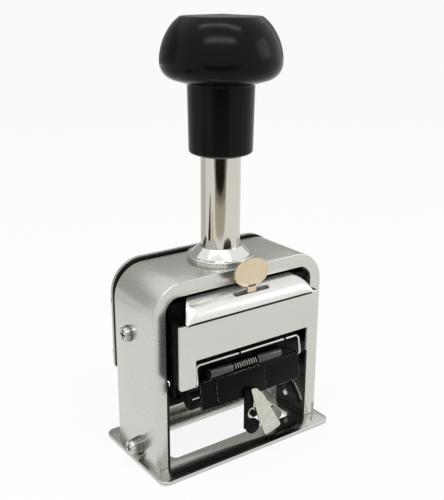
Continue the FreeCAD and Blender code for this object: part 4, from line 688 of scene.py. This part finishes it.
# Buffed nickel: nearly white where it faces up, smoother than the brushed faces.
BRIGHT_NICKEL = plated("buffed_nickel", "#E3E2DF", "#DCDBD7", 0.3, grain=(0.1, 1.0, 1.0), depth=0.0003,
                       metallic=0.9)
HOOD_FOOT, HOOD_LIFT, HOOD_TOP, HOOD_LIP = 60.3, 0.5, 66.6, 1.0
HOOD_LEFT, HOOD_RIGHT, LEFT_ROUND, RIGHT_ROUND = -29.9, 27.4, 4.6, 6.0
HOOD_BACK, HOOD_CREST, HOOD_REACH = -13.2, -16.5, 6.5
LEAST_SHARE = 0.035


def fullness(share):
    """How high the round end of the hood stands at a share of its length, as on an ellipse."""
    return math.sqrt(1 - (1 - max(share, LEAST_SHARE)) ** 2)


section = [(HOOD_BACK, HOOD_FOOT), (HOOD_BACK, HOOD_TOP), (HOOD_CREST, HOOD_TOP)]
section += [(HOOD_CREST - HOOD_REACH * math.sin(math.radians(turn)),
             HOOD_FOOT + HOOD_LIP + (HOOD_TOP - HOOD_FOOT - HOOD_LIP) * math.cos(math.radians(turn)))
            for turn in range(6, 91, 6)]
section += [(-22.9, HOOD_FOOT + HOOD_LIFT + 0.2), (-22.6, HOOD_FOOT + HOOD_LIFT),
            (-21.0, HOOD_FOOT + HOOD_LIFT), (-21.0, HOOD_FOOT)]
shares = [(1 - math.cos(math.radians(turn))) for turn in range(0, 91, 9)]
stations = [(HOOD_LEFT + LEFT_ROUND * share, fullness(share)) for share in shares]
stations += [(HOOD_RIGHT - RIGHT_ROUND * share, fullness(share)) for share in shares[::-1]]
first, full = stations[0]
hood = drawn_line("hood_bar_rounded", [
    Vector((first, y, HOOD_FOOT + (z - HOOD_FOOT) * full)) * MM for y, z in section])
bpy.ops.mesh.edge_face_add()
foot_line = Vector((0, HOOD_CREST, HOOD_FOOT)) * MM
for (x, full), (next_x, next_full) in zip(stations, stations[1:]):
    bpy.ops.mesh.extrude_region_move(TRANSFORM_OT_translate={"value": ((next_x - x) * MM, 0, 0)})
    bpy.ops.transform.resize(value=(1, 1, next_full / full), center_override=foot_line)
faced_out()
# The left end is cut oblique, and the tab's slot is milled through.
cut(hood, slab("corner_tool", "Z", (HOOD_FOOT - 1, HOOD_TOP + 1), [
    (-31, -12, 0), (-23.1, -12, 0), (-26.1, -16.5, 1.5), (-30.1, -22.2, 0), (-31, -22.2, 0)]))
cut(hood, slab("tab_slot", "Z", (HOOD_FOOT - 1, HOOD_TOP + 1), oblong(-8, 8, -20.4, -18.4, 0.9)))
finished(hood, "carriage", "nickel", BRIGHT_NICKEL, "hood", angle=62)
# A thin dark strip under the lip, where it overhangs the front plate: painted shade.
lip_shade = slab("hood_lining_strip", "X", (-29.3, 26.8), [
    (-22.55, 59.95, 0.1), (-22.0, 59.95, 0), (-22.0, 60.8, 0), (-22.55, 60.8, 0)])
finished(lip_shade, "carriage", "black_enamel", BLACKENED)

# Selector tab: an oval finger disc on a stem, stamped from one brass sheet and gilt. It stands up
# through the hood and turns a little on a pin in the crosshead. A plate of darker steel in the disc's
# back is painted shade.

# Gilt brass, brushed: pale warm gold with fine level lines.
GILT = plated("gilt_brass", "#DBCBB2", "#CEBD9F", 0.3, grain=(0.1, 1.0, 1.0), grain_mm=0.3,
              cloud_mm=6.0)
DISC_WIDE, DISC_HIGH, DISC_LEVEL, SELECTOR_SPOT = 15.3, 10.6, 73.0, (0, 53.4)
bpy.ops.object.select_all(action="DESELECT")
bpy.ops.mesh.primitive_cylinder_add(
    vertices=72, radius=0.5, depth=1.0 * MM, location=(0, -19.4 * MM, DISC_LEVEL * MM),
    rotation=(math.pi / 2, 0, 0))
disc = bpy.context.object
disc.name = "tab_disc"
disc.scale = (DISC_WIDE * MM, DISC_HIGH * MM, 1)
settled()
faces_where(disc, lambda middle, normal: abs(normal.y) > 0.9)
bpy.ops.mesh.inset(thickness=0.75 * MM, use_individual=True)
bpy.ops.mesh.inset(thickness=0.12 * MM, depth=-0.12 * MM, use_individual=True)
bpy.ops.object.mode_set(mode="OBJECT")
broken_edges(disc, 0.12, 2)
stem = slab("tab_stem", "Y", (-19.9, -18.9), [
    (-2.0, 51.4, 1.9), (2.0, 51.4, 1.9), (2.0, 66.0, 0), (1.6, 69.5, 0), (-1.6, 69.5, 0),
    (-2.0, 66.0, 0)])
cut(stem, *tools_like("eye", "Y", PIN_BORE, (-21, -18), [SELECTOR_SPOT]))
broken_edges(stem, 0.1, 2)
finished(joined("selector_tab_stamped", [disc, stem]), "selector", "gilt_brass", GILT, "selector_tab")
# A thin plate of darker steel fills the recess in the disc's back: painted shade on the disc's back.
backing = turned("tab_disc_backing", [(0, -18.93, 0), (0.5, -18.93, 0), (0.5, -18.82, 0.05),
                                      (0, -18.82, 0)], (0, 0), "Y", 72)
alone(backing)
backing.scale = (13.6, 1, 8.9)
backing.location = (0, 0, DISC_LEVEL * MM)
settled()
finished(backing, "selector", "gilt_brass", SHADE_STEEL)
pin("selector_pin_turned", "Y", SELECTOR_SPOT, 1.2, (-20.75, -14.8), "carriage", "screw_steel",
    SCREW_STEEL, "selector_pin")

# Number wheels: six turned and engraved type wheels on a ground shaft, with a ratchet on each and
# steel spacers at the ends. They turn freely on the shaft.

# Type metal, machined and ink stained: dull grey with dark ink in the grain.
TYPE_METAL = plated("inked_type_metal", "#9A968E", "#2C2A28", 0.38, grain_mm=0.2, cloud_mm=2.5)
WHEEL_SPOT, ROD_END = (0, 34.25), 31.6
SPACER_IN, SPACER_OUT, SPACER_BORE, SPACER_RADIUS = 15.35, 27.75, 3.05, 4.5
pin("wheel_shaft_ground", "X", WHEEL_SPOT, 3.0, (-ROD_END, ROD_END), "carriage", "shaft_steel",
    SHAFT_STEEL, "wheel_shaft")
spacers = paired("spacer", [(SPACER_BORE, SPACER_IN, 0.1), (SPACER_RADIUS, SPACER_IN, 0.2),
                            (SPACER_RADIUS, SPACER_OUT, 0.2), (SPACER_BORE, SPACER_OUT, 0.1)],
                 WHEEL_SPOT, ring=True)
finished(joined("shaft_spacers_turned", spacers), "carriage", "shaft_steel", SHAFT_STEEL,
         "shaft_spacers")
for wheel in ("hundred_thousands", "ten_thousands", "thousands", "hundreds", "tens", "units"):
    dressed(f"wheel_{wheel}", f"wheel_{wheel}_type", f"wheel_{wheel}", "type_metal", TYPE_METAL, 0.08)

# Pawl and detents: a bent steel yoke on the shaft carries the comb pawl that steps the wheels, and
# a spring leaf comb on a rod holds each wheel at its digit.

dressed("pawl_yoke", "pawl_yoke_bent", "pawl_swing", "shaft_steel", SHAFT_STEEL, 0.12)
dressed("comb_pawl", "comb_pawl_cut", "pawl_swing", "shaft_steel", SHAFT_STEEL, 0.06)
pin("detent_rod_ground", "X", (-9.0, 46.65), 1.5, (-ROD_END, ROD_END), "carriage", "shaft_steel",
    SHAFT_STEEL, "detent_rod")
dressed("detent_comb", "detent_comb_leaf", "carriage", "spring_steel", SPRING_WIRE, 0.04)

# Ink pad: a felt block in a folded and enamelled tray, between two stamped arms that hang on the
# wheel shaft. A turned follower on each arm runs in the cam plate's slot.

for side in ("left", "right"):
    dressed(f"pad_arm_{side}", f"pad_arm_{side}_stamped", "pad_swing", "black_enamel", enamel)
dressed("pad_tray", "pad_tray_folded", "pad_swing", "black_enamel", enamel, 0.1)
FOLLOWER_SPOT, FOLLOWER_IN, FOLLOWER_OUT, FOLLOWER_RADIUS = (-0.4188, 22.2573), 29.6, 32.7, 1.3
followers = paired("follower", [(0, FOLLOWER_IN, 0), (FOLLOWER_RADIUS, FOLLOWER_IN, 0),
                                (FOLLOWER_RADIUS, FOLLOWER_OUT, 0.2), (0, FOLLOWER_OUT, 0)],
                   FOLLOWER_SPOT, sides=40)
finished(joined("cam_followers_turned", followers), "pad_swing", "screw_steel", SCREW_STEEL,
         "cam_followers")

# Pressed wool felt, soaked with stamping ink: a matt blue black with short loose fibres.
FIBRES = (0.38462, 5.0, 1.5)
INKED_FELT = mottled("inked_wool_felt", "#0B0B10", "#23232C", FIBRES, FIBRES, 0.6, 0.2, roughness=0.85,
                     sheen_weight=0.25)[0]
PAD_HALF, PAD_DEEP, PAD_LEVEL, PAD_HALF_HIGH = 20.0, 4.3, 21.85, 2.7
CROWN, CROWN_ACROSS, CROWN_DEEP = 0.35, 2.5, 1.6
pad_low, pad_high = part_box("ink_pad")
pad = block("ink_pad_felt", *[(low / MM, high / MM) for low, high in zip(pad_low, pad_high)])
bpy.ops.object.mode_set(mode="EDIT")
bpy.ops.mesh.subdivide(number_cuts=5)
bpy.ops.object.mode_set(mode="OBJECT")
for vertex in pad.data.vertices:
    x, y, z = vertex.co / MM
    edge = min(1.0, (PAD_HALF - abs(x)) / CROWN_ACROSS, (PAD_DEEP - abs(y)) / CROWN_DEEP)
    top = (z - PAD_LEVEL) / PAD_HALF_HIGH
    vertex.co.z -= (CROWN * (1 - edge) ** 2 * top) * MM
broken_edges(pad, 0.45, 3, 60)
finished(pad, "pad_swing", "ink_felt", INKED_FELT, "ink_pad", angle=60)

# Flap and its bracket: a black plate across the carriage with two lugs, a hinge pin, a leaning
# black flap hung from two rolled knuckles, a raised leaf on it and a torsion spring between.

dressed("flap_bracket", "flap_bracket_bent", "carriage", "black_enamel", enamel)
HINGE_SPOT = (-18.8, 37.6)
pin("flap_hinge_pin_turned", "X", HINGE_SPOT, 0.8, (-20.1, 16.3), "carriage", "black_enamel", enamel,
    "flap_hinge_pin", edge=0.2)
# The flap's enamel has a painted highlight in a broken pale line along its edges, and its knuckles
# are rubbed to a gloss.
highlit_enamel = enamelled("edge_highlit_enamel", 1.0, 0.08)
gloss_enamel = enamelled("rubbed_gloss_enamel", 0, 0.9)
dressed("flap", "flap_stamped", "flap_swing", "black_enamel", highlit_enamel, 0.12)
dressed("flap_leaf", "flap_leaf_stamped", "flap_swing", "black_enamel", highlit_enamel, 0.1)
SLEEVE_BORE, SLEEVE_RADIUS = 1.5, 1.87
for number, (left, right) in enumerate(((-18.1, -8.25), (3.25, 14.3))):
    sleeve = turned(f"flap_knuckle_sleeve_{number}", [
        (SLEEVE_BORE, left, 0), (SLEEVE_RADIUS, left, 0.1), (SLEEVE_RADIUS, right, 0.1),
        (SLEEVE_BORE, right, 0)], HINGE_SPOT, "X", 48, ring=True, steps=2)
    finished(sleeve, "flap_swing", "black_enamel", gloss_enamel)
torsion = coil("torsion_spring_wound", (-7.75, *HINGE_SPOT), (2.75, *HINGE_SPOT), "X", 1.275, 0.25,
               10)
finished(torsion, "carriage", "spring_steel", SPRING_WIRE, "torsion_spring")

# Wire bail: one bright spring wire, bent over the flap on four equal corners, its ends let into the
# bracket. Two small black eyes hold it to the plate above the flap.

BEND_STEPS = 8


def bent_wire(name, corners, bend, radius):
    """A round wire through corners, each bent on the same radius."""
    spots = []
    for before, corner, after in zip(corners, corners[1:], corners[2:]):
        back = (Vector(before) - Vector(corner)).normalized()
        on = (Vector(after) - Vector(corner)).normalized()
        angle = back.angle(on)
        middle = Vector(corner) + (back + on).normalized() * bend / math.sin(angle / 2)
        start = Vector(corner) + back * bend / math.tan(angle / 2)
        turn = Quaternion(back.cross(on), -(math.pi - angle) / BEND_STEPS)
        spoke = start - middle
        for _ in range(BEND_STEPS + 1):
            spots.append(middle + spoke)
            spoke = turn @ spoke
    spots = [Vector(corners[0])] + spots + [Vector(corners[-1])]
    drawn_line(name, [spot * MM for spot in spots])
    bpy.ops.object.mode_set(mode="OBJECT")
    bpy.ops.object.convert(target="CURVE")
    wire = bpy.context.object
    wire.data.bevel_depth = radius * MM
    wire.data.bevel_resolution = 4
    wire.data.use_fill_caps = True
    bpy.ops.object.convert(target="MESH")
    alone(wire)
    edited_whole()
    bpy.ops.mesh.remove_doubles(threshold=0.001 * MM)
    faced_out()
    return wire


BAIL_HALF, BAIL_FOOT, BAIL_TOP, BAIL_DEEP = 23.9, 34.2, 42.4, -18.8
turns = [(-16.8, BAIL_FOOT), (-20.1, BAIL_FOOT), (BAIL_DEEP, BAIL_TOP)]
bail = bent_wire("wire_bail_bent", [(-BAIL_HALF, *turn) for turn in turns]
                 + [(BAIL_HALF, *turn) for turn in turns[::-1]], 1.7, 0.525)
# Bright drawn wire: pale, with a clear gloss along its length.
BRIGHT_WIRE = plated("bright_drawn_wire", "#D6D5CF", "#BDBCB6", 0.2, grain_mm=0.2, cloud_mm=4.0)
finished(bail, "carriage", "spring_steel", BRIGHT_WIRE, "wire_bail", angle=60)
for number, middle in enumerate((-4.6, 16.8)):
    low, high = middle - 0.35, middle + 0.35
    eye = turned(f"bail_eye_{number}", [
        (0.5, low, 0), (0.8, low, 0.1), (0.8, high, 0.1), (0.5, high, 0)], (BAIL_DEEP, BAIL_TOP), "X",
        32, ring=True)
    finished(eye, "carriage", "black_enamel", enamel)

# Catch arm, release tongue and finger lever: the black catch beside the flap, the black tongue with
# a round end riveted under it, and the bright lever on its pin that the finger pushes.

dressed("catch_arm", "catch_arm_stamped", "carriage", "black_enamel", enamel, 0.12)
dressed("release_tongue", "release_tongue_stamped", "flap_swing", "black_enamel", enamel, 0.15)
PIN_X, PIN_Z, STRIP_SPAN, EAR_SPAN = -1.6, 18.7, (-24.4, -23.75), (-23.7, -22.9)
lever_pin = turned("finger_lever_pin_turned", [
    (0, -25.0, 0), (1.3, -25.0, 0.3), (1.3, STRIP_SPAN[0], 0), (0.9, STRIP_SPAN[0], 0),
    (0.9, -22.3, 0.1), (0, -22.3, 0)], (PIN_X, PIN_Z), "Y", 32)
finished(lever_pin, "flap_swing", "black_enamel", enamel, "finger_lever_pin")
# Satin finished steel: pale, with dull patches where fingers rub it.
LEVER_STEEL = plated("satin_lever_steel", "#DCDBD2", "#AFAE9F", 0.34, grain_mm=0.35, cloud_mm=2.4,
                     spread=0.3)


def by_pin(name, span, rows):
    """A flat part of the lever, outlined by (across, up, corner radius) from its pin."""
    return slab(name, "Y", span, [(PIN_X + across, PIN_Z + up, soft) for across, up, soft in rows])


strip = by_pin("finger_lever_bent", STRIP_SPAN, [
    (-1.0, 10.2, 0.6), (1.5, 9.9, 0.6), (4.6, 6.6, 2.0), (7.6, 1.2, 3.0), (13.2, -8.8, 1.0),
    (5.1, -10.7, 1.3), (2.6, -3.7, 3.0), (0.4, 3.7, 3.0)])
alone(strip)
bpy.ops.object.mode_set(mode="EDIT")
for level in range(26, 9, -2):
    bpy.ops.mesh.select_all(action="SELECT")
    bpy.ops.mesh.bisect(plane_co=(0, 0, level * MM), plane_no=(0, 0, 1))
bpy.ops.object.mode_set(mode="OBJECT")
# The strip bows back above the pin and forward below it.
BOW_FOOT, BOW_HEAD, FOOT_BOW, HEAD_BOW = 20.0, 22.0, 0.006, 0.012
for vertex in strip.data.vertices:
    fall = max(0.0, BOW_FOOT - vertex.co.z / MM)
    rise = max(0.0, vertex.co.z / MM - BOW_HEAD)
    vertex.co.y -= (FOOT_BOW * fall ** 2 - HEAD_BOW * rise ** 2) * MM
broken_edges(strip, 0.15, 2)
ear = by_pin("lever_ear", EAR_SPAN, [
    (3.6, 6.8, 0.3), (6.9, 6.7, 1.0), (9.3, 5.3, 1.0), (11.4, 2.4, 0.8), (11.5, -1.4, 0.4),
    (8.4, -4.4, 0.3), (3.6, -1.6, 0.3)])
cut(ear, by_pin("slot", (-24, -22), [(7.8, 1.9, 0.45), (8.7, 1.9, 0.45), (9.3, 0.1, 0.45),
                                     (8.4, 0.1, 0.45)]))
broken_edges(ear, 0.1, 2)
# The tail is bent back, and given the darker steel as painted shade.
tail = by_pin("lever_tail", EAR_SPAN, [
    (8.0, -1.0, 0.3), (11.6, -1.3, 0.8), (14.6, -3.5, 0.6), (18.1, -6.8, 0.4), (17.9, -8.6, 0.4),
    (12.5, -10.2, 0.6), (8.0, -7.6, 0.3)])
alone(tail)
bpy.ops.transform.rotate(value=math.radians(-22), orient_axis="Z", orient_type="GLOBAL",
                         center_override=Vector((PIN_X + 8.0, -23.3, 0)) * MM)
settled()
broken_edges(tail, 0.1, 2)
finished(tail, "finger_lever", "screw_steel", SHADE_STEEL)
ring = turned("lever_ring", [
    (0.95, EAR_SPAN[0], 0.1), (2.2, EAR_SPAN[0], 0.1), (2.2, EAR_SPAN[1], 0.1), (0.95, EAR_SPAN[1], 0)],
    (PIN_X, PIN_Z), "Y", 40, ring=True, steps=2)
neck = by_pin("lever_neck", EAR_SPAN, [(1.4, 1.6, 0.2), (4.4, 3.4, 0.2), (4.4, -2.4, 0.2),
                                       (1.2, -1.7, 0.2)])
finished(joined("finger_lever_bent", [strip, ear, ring, neck]), "finger_lever", "screw_steel",
         LEVER_STEEL, "finger_lever")

# Studio: a pale floor and a white surround, soft lamps, cards that only mirrors see, and the camera
# of the photograph.

bpy.ops.object.select_all(action="DESELECT")
bpy.ops.mesh.primitive_plane_add(size=60.0, location=(0, 0, 0))
floor = bpy.context.object
floor.name = "studio_floor"
paper, paper_tree, paper_shader = new_finish("white_paper_floor", roughness=0.9)
paper_shader.inputs["Base Color"].default_value = linear("#F2F2F0")
rays = add(paper_tree, "ShaderNodeLightPath")
both_rays = add(paper_tree, "ShaderNodeMath", {0: rays.outputs["Is Camera Ray"],
                                               1: rays.outputs["Is Glossy Ray"]}, operation="MAXIMUM")
whiten = add(paper_tree, "ShaderNodeMath", {0: both_rays.outputs[0], 1: 0.88}, operation="MULTIPLY")
glow = add(paper_tree, "ShaderNodeEmission", {"Color": linear("#FFFFFF"), "Strength": 1.0})
paper_mix = add(paper_tree, "ShaderNodeMixShader", {0: whiten.outputs[0],
                                                    1: paper_shader.outputs["BSDF"],
                                                    2: glow.outputs["Emission"]})
paper_tree.links.new(paper_mix.outputs[0], paper_tree.nodes["Material Output"].inputs["Surface"])
paper.cycles.emission_sampling = "NONE"
floor.data.materials.append(paper)


def studio_card(name, corners, colour):
    """A glowing card that only mirrors see: it gives bright metal something to reflect."""
    card = drawn_line(name, [Vector(corner) for corner in corners])
    bpy.ops.mesh.edge_face_add()
    bpy.ops.object.mode_set(mode="OBJECT")
    finish, tree = new_finish(name)[:2]
    light = add(tree, "ShaderNodeEmission", {"Color": linear(colour), "Strength": 1.0})
    tree.links.new(light.outputs[0], tree.nodes["Material Output"].inputs["Surface"])
    finish.cycles.emission_sampling = "NONE"
    card.data.materials.append(finish)
    for sight in ("camera", "diffuse", "transmission", "shadow", "volume_scatter"):
        setattr(card, f"visible_{sight}", False)


def floor_card(name, level, colour, rows):
    """A card just over the floor, through rows of (reach, bearing from, bearing to)."""
    left, right = [], []
    for reach, low, high in rows:
        for side, bearing in ((left, low), (right, high)):
            angle = math.radians(bearing)
            side.append((math.sin(angle) * reach, -math.cos(angle) * reach, level))
    studio_card(name, left + right[::-1], colour)


studio_card("grey_backdrop", [(-1.3, 1.0, 0.03), (2.2, 1.0, 0.03), (2.2, 1.0, 0.85), (-1.3, 1.0, 0.85)],
            "#A6A8A3")
floor_card("grey_card_left", 0.0008, "#DAD9D2", [(0.2, -184, -128), (0.9, -184, -128)])
floor_card("warm_card_front", 0.0008, "#C4BBA9", [(0.235, -62, -14), (0.3, -66, -8), (0.5, -68, -4)])
floor_card("cream_card_left", 0.001, "#E3D9B8", [(0.2, -92, -74), (0.33, -86, -76)])
floor_card("dark_card_left", 0.0012, "#1D1A14", [
    (0.2, -112, -94), (0.24, -109, -93), (0.3, -103, -93), (0.42, -98, -93)])
floor_card("shade_card_front", 0.001, "#8E8A80", [(0.4, -62, -10), (2.4, -78, 6)])
floor_card("dark_card_front", 0.0014, "#16120C", [
    (0.43, -44, -30), (0.47, -56, -20), (0.6, -62, -13), (2.4, -66, -8)])

world = bpy.data.worlds.new("white_surround")
bpy.context.scene.world = world
world.use_nodes = True
sky_tree = world.node_tree
sky_tree.nodes.clear()
sky_rays = add(sky_tree, "ShaderNodeLightPath")
plain = add(sky_tree, "ShaderNodeMath", {0: sky_rays.outputs["Is Camera Ray"],
                                         1: sky_rays.outputs["Is Glossy Ray"]}, operation="MAXIMUM")
clear = add(sky_tree, "ShaderNodeMath", {0: plain.outputs[0],
                                         1: sky_rays.outputs["Is Transmission Ray"]},
            operation="MAXIMUM")
soft = add(sky_tree, "ShaderNodeBackground", {"Color": linear("#FFFFFF"), "Strength": 0.6})
white = add(sky_tree, "ShaderNodeBackground", {"Color": linear("#FFFFFF"), "Strength": 1.0})
sky_mix = add(sky_tree, "ShaderNodeMixShader", {0: clear.outputs[0], 1: soft.outputs[0],
                                                2: white.outputs[0]})
add(sky_tree, "ShaderNodeOutputWorld", {"Surface": sky_mix.outputs[0]})


def soft_box(name, place, width, height, power):
    """A soft rectangular lamp that faces the middle of the machine."""
    lamp = bpy.data.lights.new(name, "AREA")
    lamp.shape = "RECTANGLE"
    lamp.size = width
    lamp.size_y = height
    lamp.energy = power
    holder = bpy.data.objects.new(name, lamp)
    bpy.context.scene.collection.objects.link(holder)
    holder.location = place
    holder.rotation_mode = "QUATERNION"
    holder.rotation_quaternion = (Vector(place) - Vector((0, 0, 0.1))).to_track_quat("Z", "Y")


soft_box("key_strip", (-0.35, -0.45, 0.75), 0.75, 0.12, 2.2)
soft_box("top_strip", (-0.1, -0.1, 0.95), 0.9, 0.12, 2.4)
soft_box("side_box", (0.75, -0.55, 0.45), 0.45, 0.45, 1.2)

AZIMUTH, ELEVATION, ROLL = math.radians(-35.51), math.radians(18.333), math.radians(0.294)
TARGET, DISTANCE = Vector((0.000134, -0.000095, 0.0761)), 0.2974
lens_body = bpy.data.cameras.new("photo_camera")
lens_body.sensor_width = 36.0
lens_body.lens = 56.98
lens_body.shift_x = 0.0026
lens_body.clip_start = 0.01
camera = bpy.data.objects.new("photo_camera", lens_body)
bpy.context.scene.collection.objects.link(camera)
bpy.context.scene.camera = camera
back = Vector((math.sin(AZIMUTH) * math.cos(ELEVATION), -math.cos(AZIMUTH) * math.cos(ELEVATION),
               math.sin(ELEVATION)))
camera.location = TARGET + back * DISTANCE
camera.rotation_mode = "QUATERNION"
camera.rotation_quaternion = (Quaternion((0, 0, 1), AZIMUTH)
                              @ Quaternion((1, 0, 0), math.pi / 2 - ELEVATION)
                              @ Quaternion((0, 0, 1), ROLL))
bpy.context.scene.view_settings.view_transform = "Standard"
